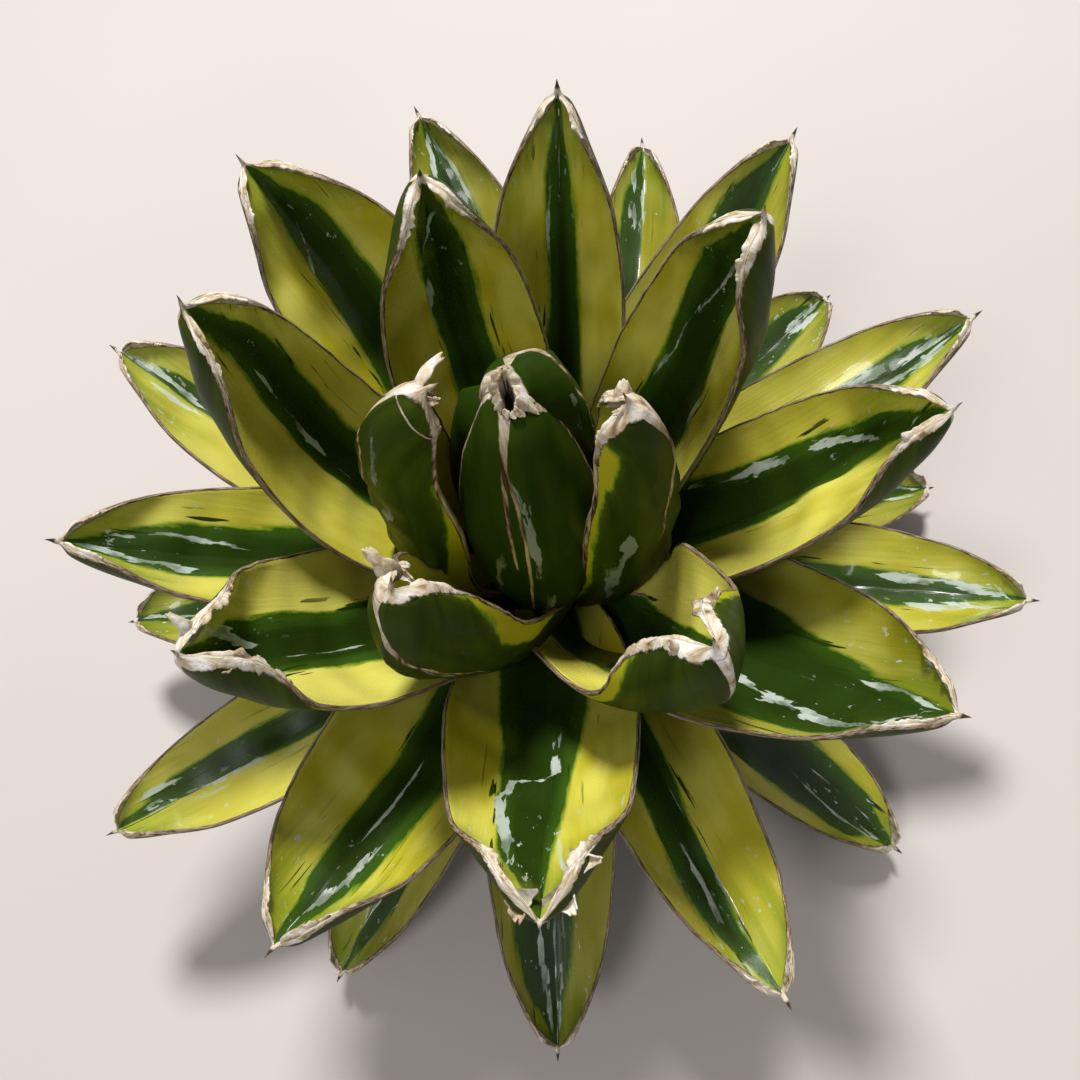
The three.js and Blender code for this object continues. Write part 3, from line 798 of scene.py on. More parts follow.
def writeLines(mesh, leaf, ring, width):
    # offset across and half width, in mm, of the horny lines on the back: two along it and one across
    s, a, looks, faraway = ring["along"], ring["across"], leafLooks, leafLooks["faraway"]
    offsets, halves = np.full((len(s), 3), float(faraway)), np.full((len(s), 3), -1.0)
    back = ring["side"] < -0.5
    for k, points in enumerate(looks["backLineAside"].get(leaf["index"], (looks["keelLine"],))):
        offsets[:, k] = np.where(back, (a - curveAt(points, s)) * width, faraway)
        halves[:, k] = np.where(back & (s >= points[0][0]), curveAt(points, s, 2), -1.0)
    cross = looks["crossLineAside"].get(leaf["index"])
    if cross:
        inside = back & (a >= cross[0][0]) & (a <= cross[-1][0] + 0.1)
        offsets[:, 2] = np.where(back, (s - curveAt(cross, a)) * leaf["length"], faraway)
        halves[:, 2] = np.where(inside, curveAt(cross, a, 2), -1.0)
    writeMark(mesh, "lineOffset", offsets)
    writeMark(mesh, "lineHalf", halves)


def backStrip(leaf, s, hand, draw):
    # width in mm of the yellow strip beside each margin of a back
    strips = leafLooks["backStripAside"].get(leaf["index"])
    if strips is None:
        strips = {sign: ((0.1, draw.uniform(2.0, 4.5)), (draw.uniform(0.5, 0.8), -1.5)) for sign in (-1, 1)}
    wide = np.full(len(s), -1.5)
    for sign, points in strips.items():
        wide = np.where(hand == sign, curveAt(points, s), wide)
    return wide


def hornEdges(leaf, ring, hand, fromMargin):
    # how far inside the horny margin or the dried cap each point lies, in mm
    looks, s, index = leafLooks, ring["along"], leaf["index"]
    under = ring["side"] < 0
    # each margin has a crust of its own at the tip
    uneven = random.Random(700 + index)
    spread = looks["crustSpread"] if index >= 2 else 0.0
    crust = np.where(hand < 0, *(leaf["crust"] * (1 + uneven.uniform(-spread, 1.6 * spread)) for _ in (0, 1)))
    crustFrom = np.where(hand < 0, *(leaf["crustFrom"] - uneven.uniform(0, 0.15 * spread) for _ in (0, 1)))
    margin = looks["hornWidth"] + crust * easeStep(s, crustFrom, 1.02)
    underWidth = looks["hornUnderAside"].get(index, looks["hornWidth"])
    marginUnder = underWidth + 0.4 * crust * easeStep(s, crustFrom + 0.03, 1.0)
    hornUnder = marginUnder - fromMargin
    cap = looks["capAside"].get(index)
    if cap:
        hornUnder = np.maximum(hornUnder, (s - curveAt(cap, ring["across"])) * leaf["length"])
    horn = np.where(under, hornUnder, margin - fromMargin)
    horn = np.where(ring["rim"], np.maximum(horn, np.where(under, marginUnder, margin)), horn)
    return np.where(ring["spine"] > 0, 3, horn)


def writeStrokes(mesh, leaf, ring, width, draw):
    # offset across in mm and strength of the silvery imprints and painted highlight streaks, three at most on
    # each face
    s, a, faraway = ring["along"], ring["across"], leafLooks["faraway"]
    offsets, presence = np.full((len(s), 3), float(faraway)), np.zeros((len(s), 3))
    backs = leafLooks["backImprintAside"].get(leaf["index"], leafLooks["backImprint"])
    for face, strokes in ((ring["side"] > 0.5, imprintsAndHighlightsOf(leaf, draw)), (ring["side"] < -0.5, backs)):
        for k, (strength, *points) in enumerate(strokes):
            points = sorted(points)
            first, last = points[0][0], points[-1][0]
            ends = easeStep(s, first - 0.02, first + 0.04) * easeStep(-s, -last - 0.02, 0.03 - last)
            offsets[:, k] = np.where(face, (a - curveAt(points, s)) * width, offsets[:, k])
            presence[:, k] = np.where(face, ends * strength, presence[:, k])
    writeMark(mesh, "strokeOffset", offsets)
    writeMark(mesh, "strokePresence", presence)


def writeMarks(mesh, leaf, ring, width, fromMargin):
    # distances in millimetres that the skin material turns into its markings
    looks, index = leafLooks, leaf["index"]
    draw = random.Random(900 + index)
    s, a, side = ring["along"], ring["across"], ring["side"]
    hand = np.where(a < 0, -1, 1)
    left, right = bandAt(leaf, s, draw)
    band = np.maximum(left - a, a - right) * width
    bandUnder = backStrip(leaf, s, hand, draw) - fromMargin
    softer = 0.5 if index < 2 else 1.0
    paler = looks["spinePale"] if leaf["hood"] > 0.8 or index < 0 else 1.0
    fresh, pale = looks["freshAside"].get(index, 0.0), looks["paleAside"].get(index, 0.0)
    dim = looks["dimAside"].get(index, 0.3 * min(1, max(0, (index - 8) / 8)))
    writeLines(mesh, leaf, ring, width)
    writeMark(mesh, "leafPlace", np.stack([a * width, s * leaf["length"], 7.3 * index + 3.0 * side], 1))
    writeMark(mesh, "leafAlong", s)
    writeMark(mesh, "leafSide", side)
    writeMark(mesh, "bandEdge", np.where(side < -0.99, bandUnder, band))
    writeMark(mesh, "hornEdge", hornEdges(leaf, ring, hand, fromMargin))
    writeMark(mesh, "crustShare", easeStep(s, leaf["crustFrom"] - 0.04, 0.97) * leaf["crust"] / 4.0 * softer)
    writeMark(mesh, "spineShare", ring["spine"] * paler)
    writeMark(mesh, "leafFresh", np.where(side < 0, fresh, pale))
    writeMark(mesh, "leafAgeAndShade", np.full(len(s), dim))
    writeStrokes(mesh, leaf, ring, width, draw)


# leaf skin: colours as seen, roughness as shares
skinPaint = {
    "yellow": "d3ca35", "yellowPale": "e2da6c", "yellowDeep": "b5a820", "yellowGreen": "909f26",
    "greenDark": "23370b", "greenMid": "375414", "greenLight": "6e8a1c",
    "underDark": "212e04", "underOlive": "3e4d0b", "underYellow": "a9a41c", "underFresh": "143405",
    "hornPale": "c3b397", "hornTan": "9a8566", "hornBrown": "5c4430", "hornDark": "2b1d13",
    # the imprint colour also serves the painted highlight streaks
    "paper": "dfdad1", "imprintAndHighlight": "bcc6ba", "spine": "33231a",
    "skinGloss": 0.22, "grainRough": 0.12, "backRough": 0.22, "imprintRough": 0.25, "hornRough": 0.72,
    # specular level and coat: upper face, then back
    "upperFinish": (0.34, 0.32), "backFinish": (0.06, 0.04), "coatRough": 0.07,
    # width in mm over which the green runs out into the yellow on an upper face and on a back, and its swings
    "featherUpper": 6.0, "featherBack": 3.0, "edgeSwing": 3.0, "edgeRagged": 0.8,
    # imprints and painted highlights: how dense the brush must be, its width in mm, and how far the strokes
    # swing
    "brushFrom": 0.41, "brushWidth": 5.0, "strokeSwing": 2.4, "strokeRagged": 0.35,
}
# patterns on a leaf: turns a mm across, along and from leaf to leaf, then detail and roughness
skinPatterns = {
    "longStreak": ((0.42, 0.035, 1), 3, 0.55), "thinStreak": ((1.7, 0.045, 1), 2, 0.5),
    "boldLine": ((0.85, 0.055, 1), 2, 0.5), "patch": ((0.16, 0.05, 1), 2, 0.5),
    "ragged": ((1.1, 0.45, 1), 4, 0.6), "grain": ((5.0, 3.0, 1), 2, 0.6),
    "brush": ((0.36, 0.115, 1), 3, 0.6), "wisp": ((1.3, 0.12, 1), 3, 0.6), "splash": ((0.8, 0.34, 1), 3, 0.6),
    "thinner": ((0.35, 0.12, 1), 3, 0.6), "hornMottle": ((1.5, 0.10, 1), 3, 0.55),
    "paperMottle": ((0.6, 0.45, 1), 3, 0.6),
}
skinMarks = (
    "leafAlong", "leafSide", "leafAgeAndShade", "leafFresh", "bandEdge", "hornEdge", "crustShare", "spineShare",
    "hollowShadeShare",
)


def readLeaf(surface):
    # the marks that a leaf's mesh carries, and the patterns laid over it
    see = {name: attribute(surface, name) for name in skinMarks}
    place = attribute(surface, "leafPlace", "Vector")
    for name, pattern in skinPatterns.items():
        see[name] = noiseOn(place, *pattern)
    for name in ("strokeOffset", "strokePresence", "lineOffset", "lineHalf"):
        vector = attribute(surface, name, "Vector")
        see[name] = put(vector.id_data, "ShaderNodeSeparateXYZ", None, {0: vector}).outputs
    return see


def upperColours(see, edge):
    # green band with a feathered edge, then yellow with loose dark lines near the band
    looks = skinPaint
    colour = ramp(scaled(edge, 1 / looks["featherUpper"], 0.5), looks, (
        (0.0, "greenDark"), (0.40, "greenMid"), (0.49, "greenMid"), (0.53, "greenLight"),
        (0.60, "yellowGreen"), (0.68, "yellow"),
    ))
    isYellow = easeBetween(edge, 0.2, 0.8)
    patches = easeBetween(see["patch"], 0.35, 0.65)
    yellow = blendColours(patches, paint(looks["yellowDeep"]), paint(looks["yellowPale"]))
    colour = blendColours(times(isYellow, 0.55), colour, yellow)
    colour = stain(times(isYellow, see["leafFresh"], 0.8), colour, looks["yellowPale"])
    toTip = plus(swing(see["longStreak"], 0.5), see["leafAlong"])
    colour = stain(times(easeBetween(toTip, 0.74, 1.0), isYellow, 0.8), colour, looks["yellowGreen"])
    isLine = most((easeBetween(see["thinStreak"], 0.70, 0.73), easeBetween(see["boldLine"], 0.67, 0.70)))
    return stain(times(isLine, easeBetween(edge, 6.0, 1.0)), colour, looks["greenDark"])


def backColours(see, edge):
    # deep olive with yellow strips beside the margins
    looks = skinPaint
    colour = ramp(scaled(edge, 1 / looks["featherBack"], 0.5), looks, (
        (0.0, "underDark"), (0.44, "underOlive"), (0.55, "greenLight"), (0.66, "underYellow"),
    ))
    streaks = easeBetween(see["longStreak"], 0.15, 0.85)
    shade = blendColours(streaks, paint(looks["underDark"]), paint(looks["underOlive"]))
    shade = stain(times(see["leafFresh"], 0.7), shade, looks["underFresh"])
    return blendColours(easeBetween(edge, -0.5, -1.5), colour, shade)


def imprintAndHighlightShare(see, isUpper):
    # silvery imprints with painted highlights among them: brushed strokes, small splashes near the tip of an
    # upper face, thinner in places
    looks = skinPaint
    brush = plus(times(see["brush"], 0.7), times(see["wisp"], 0.3))
    brush = times(calc("SUBTRACT", brush, looks["brushFrom"]), looks["brushWidth"])
    offCourse = swing(see["longStreak"], looks["strokeSwing"])
    offCourse = plus(offCourse, swing(see["ragged"], looks["strokeRagged"]))
    strokes = []
    for offset, presence in zip(see["strokeOffset"], see["strokePresence"]):
        reach = calc("SUBTRACT", times(brush, presence), calc("ABSOLUTE", plus(offset, offCourse)))
        strokes.append(easeBetween(reach, 0.0, 0.2))
    nearTip = easeBetween(see["leafAlong"], 0.62, 0.8)
    splash = times(easeBetween(see["splash"], 0.655, 0.675), nearTip, isUpper)
    thinner = scaled(easeBetween(see["thinner"], 0.38, 0.62), 0.75, 0.3, clamp=True)
    return times(most((*strokes, splash)), thinner)


def hornShares(see):
    # share of horn at each point, and share of the dark line along its inner rim
    ragged = swing(see["ragged"], scaled(see["crustShare"], 2.6, 0.5))
    reach = plus(see["hornEdge"], ragged)
    sway = swing(see["ragged"], 0.3)
    lines = [calc("SUBTRACT", half, calc("ABSOLUTE", plus(offset, sway)))
             for offset, half in zip(see["lineOffset"], see["lineHalf"])]
    isLine = easeBetween(most(lines), 0.02, 0.08)
    rimLine = times(easeBetween(reach, 0.34, 0.06), 0.75, calc("SUBTRACT", 1.0, isLine))
    return easeBetween(most((reach, *lines)), -0.05, 0.08), rimLine


def hornColours(see, rimLine):
    # streaked horn that turns papery in the crusts, with painted shade in the hollow of the heart, and dark
    # on the spine
    looks = skinPaint
    horn = ramp(see["hornMottle"], looks, (
        (0.33, "hornDark"), (0.41, "hornBrown"), (0.50, "hornTan"), (0.66, "hornPale")))
    paper = ramp(see["paperMottle"], looks, (
        (0.27, "hornBrown"), (0.37, "hornTan"), (0.47, "hornPale"), (0.62, "paper")))
    colour = blendColours(easeBetween(see["crustShare"], 0.1, 0.6), horn, paper)
    colour = stain(rimLine, colour, looks["hornDark"])
    # painted shade in the hollow of the heart
    colour = stain(easeBetween(see["hollowShadeShare"], 0.1, 0.6), colour, looks["hornDark"])
    return stain(easeBetween(see["spineShare"], 0.02, 0.35), colour, looks["spine"])


def leafRelief(see):
    # fine streaks on the skin and a papery horn; kept plain, as a bump works its height out three times
    skin = plus(times(see["thinStreak"], 0.35), times(see["grain"], 0.10))
    papery = times(see["paperMottle"], scaled(easeBetween(see["crustShare"], 0.1, 0.6), 1.7, 0.4))
    return blendValues(easeBetween(see["hornEdge"], -0.1, 0.1), skin, plus(papery, times(see["grain"], 0.6)))


def makeLeafSkin(name, specular, coat):
    looks = skinPaint
    material, surface = newMaterial(name)
    see = readLeaf(surface)
    edge = plus(see["bandEdge"], swing(see["longStreak"], looks["edgeSwing"]))
    edge = plus(edge, swing(see["ragged"], looks["edgeRagged"]))
    isUpper = easeBetween(see["leafSide"], -0.3, 0.3)
    skin = blendColours(isUpper, backColours(see, edge), upperColours(see, edge))
    # outer leaves darkened towards deep green, partly for age and partly as painted shade
    skin = stain(see["leafAgeAndShade"], skin, looks["greenDark"])
    # silvery imprints, partly painted highlights, laid over the skin colour
    imprintAndHighlight = imprintAndHighlightShare(see, isUpper)
    skin = stain(times(imprintAndHighlight, scaled(isUpper, 0.45, 0.40)), skin, looks["imprintAndHighlight"])
    isHorn, rimLine = hornShares(see)
    isBack = calc("SUBTRACT", 1.0, isUpper)
    rough = scaled(see["grain"], looks["grainRough"], looks["skinGloss"])
    rough = plus(rough, times(isBack, looks["backRough"]), times(imprintAndHighlight, looks["imprintRough"]))
    feed(surface, {
        "Base Color": blendColours(isHorn, skin, hornColours(see, rimLine)),
        "Roughness": blendValues(isHorn, rough, looks["hornRough"]),
        "Specular IOR Level": specular, "Coat Weight": coat, "Coat Roughness": looks["coatRough"],
    })
    addBump(surface, leafRelief(see), 0.6, 0.25)
    return material


def makeTissueSkin():
    # papery brown and white skin of dead tips
    material, surface = newMaterial("driedTissue")
    place = objectPlace(surface)
    cloud = noiseOn(place, (260, 260, 260), 3, 0.6)
    fine = noiseOn(place, (1300, 1300, 1300), 3, 0.6)
    colour = ramp(plus(times(cloud, 0.75), times(fine, 0.25)), skinPaint, (
        (0.33, "hornBrown"), (0.41, "hornTan"), (0.50, "hornPale"), (0.62, "paper")))
    feed(surface, {
        "Base Color": stain(attribute(surface, "tissueBrownAndShade"), colour, skinPaint["hornDark"]),
        "Roughness": 0.8, "Subsurface Weight": 0.1, "Subsurface Radius": (0.6 * mm, 0.4 * mm, 0.25 * mm),
    })
    addBump(surface, fine, 0.7, 0.2)
    return material


# build the leaves
leafSkin = makeLeafSkin("leafSkin", *skinPaint["upperFinish"])
leafBack = makeLeafSkin("leafBack", *skinPaint["backFinish"])
leafBlank = modelTube("leafBlank", leafLooks["aroundPoints"], leafLooks["rowSteps"], "TRIFAN")
leafRing = placeRing(leafBlank)
backFaces = [bool(np.all(leafRing["side"][list(face.vertices)] < -0.5)) for face in leafBlank.data.polygons]
leafBlank.data.polygons.foreach_set("material_index", [int(back) for back in backFaces])
crustNoise = bpy.data.textures.new("crustNoise", "CLOUDS")
crustNoise.noise_scale = 1.6 * mm
crustNoise.noise_depth = 3


def crumpleCrust(piece, leaf):
    # dried tissue at the hood stands up in small uneven folds
    group = piece.vertex_groups.new(name="crust")
    s, horn = leafRing["along"], np.zeros(len(piece.data.vertices), np.float32)
    piece.data.attributes["hornEdge"].data.foreach_get("value", horn)
    weight = easeStep(s, 0.86, 0.97) * easeStep(horn, -0.5, 1.0) * (1 - easeStep(leafRing["spine"], 0.1, 0.5))
    weight = np.where(leafRing["centre"], 0, weight) * (1 - 0.8 * easeStep(s, 0.985, 1))
    for k in np.nonzero(weight > 0.01)[0]:
        group.add([int(k)], float(weight[k]), "REPLACE")
    softer = 0.5 if leaf["index"] < 2 else 1.0
    strength = leafLooks["crustRough"] * softer * mm * leaf["crust"] / 4.5
    applyModifier(piece, "DISPLACE", "crumple", texture=crustNoise, texture_coords="LOCAL",
                  direction="NORMAL", vertex_group="crust", strength=strength, mid_level=0.45)
    piece.vertex_groups.clear()


# dried tissue: ragged frills along the rims of the hoods, curled tongues and the withered cup of the heart
tissueLooks = {
    "thick": 0.28, "frillCuts": 72, "frillRows": 5,
    # height of a frill: its mean and its coarse and fine tears; then twist in degrees, sway and tuck in mm
    "frillTorn": (0.62, 0.5, 0.42), "frillTwist": 45, "frillSway": 0.45, "frillTuck": 0.45,
    "frillShade": 0.45,
    # tongues: tears, ripple and hidden root in mm, and the bend as a share of the length
    "tongueGrid": (24, 14), "tongueTorn": 1.1, "tongueRipple": 0.25, "tongueSunk": 0.8, "tongueBend": 0.27,
    "tongueShade": 0.6,
    # from and to (shares along), height in mm, then how far it bends over at its foot and top, in degrees
    "frills": {
        -2: {-1: (0.93, 0.985, 1, 10, 50), 1: (0.93, 0.985, 1, -10, 50)},
        -3: {-1: (0.9, 0.985, 1, 0, 70), 1: (0.9, 0.985, 1, 0, 60)},
        -1: {-1: (0.88, 0.985, 1.2, 0, 70), 1: (0.88, 0.985, 1.2, 0, 60)},
        0: {-1: (0.88, 0.985, 1.6, 10, 60), 1: (0.93, 0.985, 0.9, -10, 60)},
        1: {-1: (0.93, 0.985, 1, 0, 80), 1: (0.88, 0.985, 1.6, 10, 70)},
        3: {-1: (0.86, 0.985, 2.6, 10, 70), 1: (0.9, 0.985, 2, -10, 90)},
        6: {-1: (0.8, 0.985, 1.7, -10, 80), 1: (0.84, 0.985, 2.2, 10, 80)},
        8: {-1: (0.88, 0.985, 2, 10, 90), 1: (0.86, 0.985, 1.7, -10, 80)},
        11: {-1: (0.91, 0.985, 2, 0, 90), 1: (0.9, 0.985, 2.2, 0, 90)},
        14: {-1: (0.9, 0.985, 1.5, 0, 70), 1: (0.9, 0.985, 1.8, 0, 70)},
    },
    "plainFrill": (0.93, 0.99, 1.7, -5, 50),
    # curled tongues: root as share along and place across, way and side way in mm, width, roll in degrees
    "tongues": {
        0: (
            ((0.955, -0.35), (6.6, 2.6, 3.4), (0.4, -1.2, 1.4), 5.2, 230),
            ((0.975, 0.3), (2.6, -0.8, 0.6), (0.2, 1.4, 1), 2.2, 160),
        ),
        1: (
            ((0.965, 0.45), (0.6, 2.4, 1.8), (2.6, -0.4, -0.2), 5, 250),
            ((0.98, -0.3), (-2, -0.4, 0.6), (0.4, 1, 1), 2, 120),
        ),
        3: (
            ((0.97, -0.8), (-2.6, 3.6, 3.6), (1.8, 1, 0.4), 3.2, 170),
            ((0.97, -0.9), (1.8, -2, 0.6), (0.8, 1.2, 1.4), 2.2, 120),
        ),
        6: (
            ((0.95, -0.6), (-1.6, 1.6, 2.6), (1.6, 0.4, 0.8), 3, 200),
            ((0.9, 0.9), (1.8, 1.2, 2.2), (0.2, -1.8, 0.6), 3, 220),
        ),
        8: (
            ((0.97, -0.6), (-2.6, 2.4, 3.4), (1, 1.6, 0), 3, 280),
            ((0.95, 0.6), (1.4, -1.6, 2), (1.6, 0.6, 0.6), 2.6, 200),
        ),
        11: (
            ((0.96, 0.45), (1.6, -3.4, 0.6), (1.8, 0.8, 0.6), 5.4, 190),
            ((0.96, -0.45), (-1.2, -3.2, 0.8), (1.8, -0.6, 0.6), 5, 170),
            ((0.94, 0.85), (3, -0.6, 1.6), (0.4, 1.6, 0.6), 3.6, 250),
        ),
    },
}


def gridPiece(name, columns, rows):
    deselectAll()
    bpy.ops.mesh.primitive_grid_add(x_subdivisions=columns, y_subdivisions=rows, size=1, location=(0, 0, 0))
    made = bpy.context.object
    made.name = name
    points = verticesOf(made.data)
    return made, points[:, 0] + 0.5, points[:, 1] + 0.5


def finishTissue(piece, points, shade, closed=False):
    # points in mm; the shade darkens the tissue: brown towards its roots, and painted shade inside the mouth
    # of the heart
    writeMark(piece.data, "tissueBrownAndShade", shade)
    setVertices(piece.data, points)
    if closed:
        mergeDoubles(piece, 0.01 * mm)
    applyModifier(piece, "SOLIDIFY", "tissue", thickness=tissueLooks["thick"] * mm, offset=0)
    bpy.ops.object.shade_smooth()
    piece.data.materials.append(driedTissue)
    return piece


def makeFrill(leaf, hand, setting):
    # a torn strip along the rim of a hood that bends over as it rises
    start, end, height, footBend, topBend = setting
    looks = tissueLooks
    piece, across, up = gridPiece("frill", looks["frillCuts"], looks["frillRows"])
    s = start + (end - start) * across
    rim, outward, upward = marginLine(leaf, s, hand)
    forward = np.cross(outward, upward)
    seed = leaf["index"] * 2 + hand + 40
    mean, coarse, fine = looks["frillTorn"]
    ragged = mean + coarse * noiseRow(seed, s, 46) + fine * noiseRow(seed + 9, s, 130)
    ends = np.clip(np.sin(np.pi * np.clip(across, 0, 1)), 0, 1) ** 0.35
    reach = height * np.clip(ragged, 0.1, 1.3) * ends * up
    bend = np.radians(footBend + (topBend - footBend) * up + looks["frillTwist"] * noiseRow(seed + 5, s, 30))
    sway = looks["frillSway"] * noiseRow(seed + 7, s, 60) * up
    points = rim + outward * (reach * np.cos(bend) - looks["frillTuck"] * (1 - up))[:, None]
    points += upward * (reach * np.sin(bend))[:, None] + forward * sway[:, None]
    return finishTissue(piece, points, looks["frillShade"] * (1 - easeStep(up, 0.0, 0.45)))


def makeTongue(leaf, setting, order):
    # a strip of dried tissue that rolls up as it leaves the tip
    (s, across0), way, sideWay, width, roll = setting
    looks = tissueLooks
    piece, out, across = gridPiece("tongue", *looks["tongueGrid"])
    root, way, sideWay = facePoints(leaf, np.array([s]), across0, 1.0)[0], np.array(way), np.array(sideWay)
    length = np.linalg.norm(way)
    way = way / length
    sideWay = sideWay - way * np.dot(way, sideWay)
    sideWay /= np.linalg.norm(sideWay)
    lift = np.cross(way, sideWay)
    side = (across - 0.5) * 2
    seed = leaf["index"] * 2 + order + 70
    wide = 0.5 * width * (1.15 - 0.75 * out ** 1.5 + 0.3 * noiseRow(seed, out, 4))
    mostTurn = np.radians(roll) * (0.12 + 0.4 * out)
    curl = wide * np.sin(mostTurn * side) / mostTurn
    rise = wide * (1 - np.cos(mostTurn * side)) / mostTurn
    ragged = looks["tongueTorn"] * noiseRow(seed + 3, side, 2.0) * out ** 2
    bend = looks["tongueBend"] * np.sin(out * 2.2) * length
    sunk = looks["tongueSunk"]
    points = root + way * (out * (length + sunk) - sunk + ragged)[:, None]
    points += sideWay * curl[:, None] + lift * (rise - bend)[:, None]
    points[:, 2] += looks["tongueRipple"] * noiseRow(seed + 5, side + 3 * out, 3)
    return finishTissue(piece, points, looks["tongueShade"] * (1 - easeStep(out, 0.15, 0.55)))


def makeCup():
    # torn lips that stand round the hollow and lie down on the tip outside it
    looks = mouthLooks
    piece, turn, up = gridPiece("witheredCup", looks["around"], looks["rings"])
    angle = 2 * math.pi * turn
    lobes, folds, fine = (noiseRound(angle, size, seed + height * up)
                          for size, height, seed in ((1.4, 0.5, 4), (3.2, 0.8, 9), (8, 1.5, 2)))
    right = 0.5 + 0.5 * np.cos(angle)
    climb, fall = easeStep(up, 0.0, 0.55), easeStep(up, 0.55, 1.0)
    wide = looks["lipLeft"] + (looks["lipRight"] - looks["lipLeft"]) * right
    torn = fall * (1 + looks["torn"] * (0.8 * lobes + 0.7 * folds + 0.4 * fine))
    x = (looks["slit"][0] * (0.55 + 0.45 * climb) + wide * torn) * np.cos(angle)
    y = (looks["slit"][1] * (0.7 + 0.3 * climb) + looks["lipLong"] * torn) * np.sin(angle)
    x = x + looks["sway"] * folds * climb
    surface = looks["crown"] + looks["slope"] * y - looks["sides"] * x ** 2
    stand = looks["stand"] * (1 + 0.9 * lobes + 0.9 * folds + 0.5 * fine)
    stand += looks["standBack"] * np.clip(np.sin(angle), 0, 1) ** 3
    height = surface + looks["low"] * (1 - climb) + stand * climb * (1 - fall)
    height += looks["lift"] * fall * (1 + 2 * fine)
    # painted shade inside the mouth: dark low on its walls, giving way sooner on the left wall, and the left
    # side a little darker throughout
    leftWall = 0.22 * np.clip(-np.cos(angle), 0, 1)
    inside = looks["dark"] * (1 - easeStep(up + 0.25 * folds + leftWall, 0.24, 0.5))
    shade = np.maximum(inside, looks["leftShade"] * (1 - right))
    points = np.stack([looks["middle"][0] + x, looks["middle"][1] + y, height], 1)
    finishPiece(finishTissue(piece, points, shade, closed=True))


leaves = [heartLeaf(order) for order in range(3)] + [openLeaf(index) for index in range(leafRule["count"])]
driedTissue = makeTissueSkin()
for leaf in leaves:
    blade = copyOf(leafBlank, f"{leaf['node']}_blade")
    for skin in (leafSkin, leafBack, driedTissue):
        blade.data.materials.append(skin)
    shapeLeaf(blade, leaf, leafRing)
    crumpleCrust(blade, leaf)
    plain = dict.fromkeys((-1, 1), tissueLooks["plainFrill"])
    frills = tissueLooks["frills"].get(leaf["index"], plain)
    tongues = tissueLooks["tongues"].get(leaf["index"], ())
    scraps = [makeFrill(leaf, hand, setting) for hand, setting in frills.items()]
    scraps += [makeTongue(leaf, setting, order) for order, setting in enumerate(tongues)]
    joinInto(blade, scraps)
    finishPiece(blade, leaf["node"])
bpy.data.objects.remove(leafBlank)
print("leaves shaped:", len(leaves))

makeCup()
print("dried tissue of the heart made")


def ringPlaces(tube):
    # share up the tube and angle round it of each vertex
    points = verticesOf(tube.data)
    return points[:, 2], np.arctan2(points[:, 1], points[:, 0])


# stem: cut foot, bark and a spiral of old leaf scars
stemLooks = {
    "around": 200, "ringSteps": (10, 19), "footRings": 44, "footRadius": 14.9,
    # radius in mm at each height in mm, closed at the crown
    "profile": (
        (0, 14.9), (1.2, 15.2), (3, 14.8), (24, 12.4), (27, 11), (37, 10.9), (42, 8.9), (44.3, 4.5), (45, 0),
    ),
    "scarTop": 27.0, "scarStep": 0.62, "scarCount": 40, "scarTurn": 137.5, "scarHalf": (5.2, 1.7),
    "scarRise": 0.75, "scarSag": 0.05, "scarDeep": 0.45, "barkDeep": 0.2, "barkRough": 0.35, "cutRough": 0.16,
    "barkDark": "3b2a1c", "barkMid": "6b5238", "barkPale": "a08a68", "scarPale": "b9a684",
    "cutPale": "d6c9a4", "cutDark": "a08655", "cutRim": "5d4630",
}


def makeStemSkin():
    looks = stemLooks
    material, surface = newMaterial("stemBark")
    place = objectPlace(surface)
    fibre = noiseOn(place, (900, 900, 70), 4, 0.65)
    cloud = noiseOn(place, (160, 160, 220), 3, 0.6)
    dots = noiseOn(place, (1500, 1500, 1500), 2, 0.6)
    bark = ramp(plus(times(fibre, 0.6), times(cloud, 0.4)), looks, (
        (0.38, "barkDark"), (0.50, "barkMid"), (0.64, "barkPale")))
    bark = stain(times(attribute(surface, "scarShare"), 0.8), bark, looks["scarPale"])
    pith = ramp(plus(times(dots, 0.6), times(cloud, 0.4)), looks, ((0.38, "cutDark"), (0.55, "cutPale")))
    pith = stain(easeBetween(attribute(surface, "rimShare"), 0.84, 0.95), pith, looks["cutRim"])
    feed(surface, {
        "Base Color": blendColours(attribute(surface, "cutShare"), bark, pith),
        "Roughness": scaled(fibre, 0.2, 0.7), "Specular IOR Level": 0.25,
    })
    addBump(surface, fibre, 0.8, 0.4)
    return material


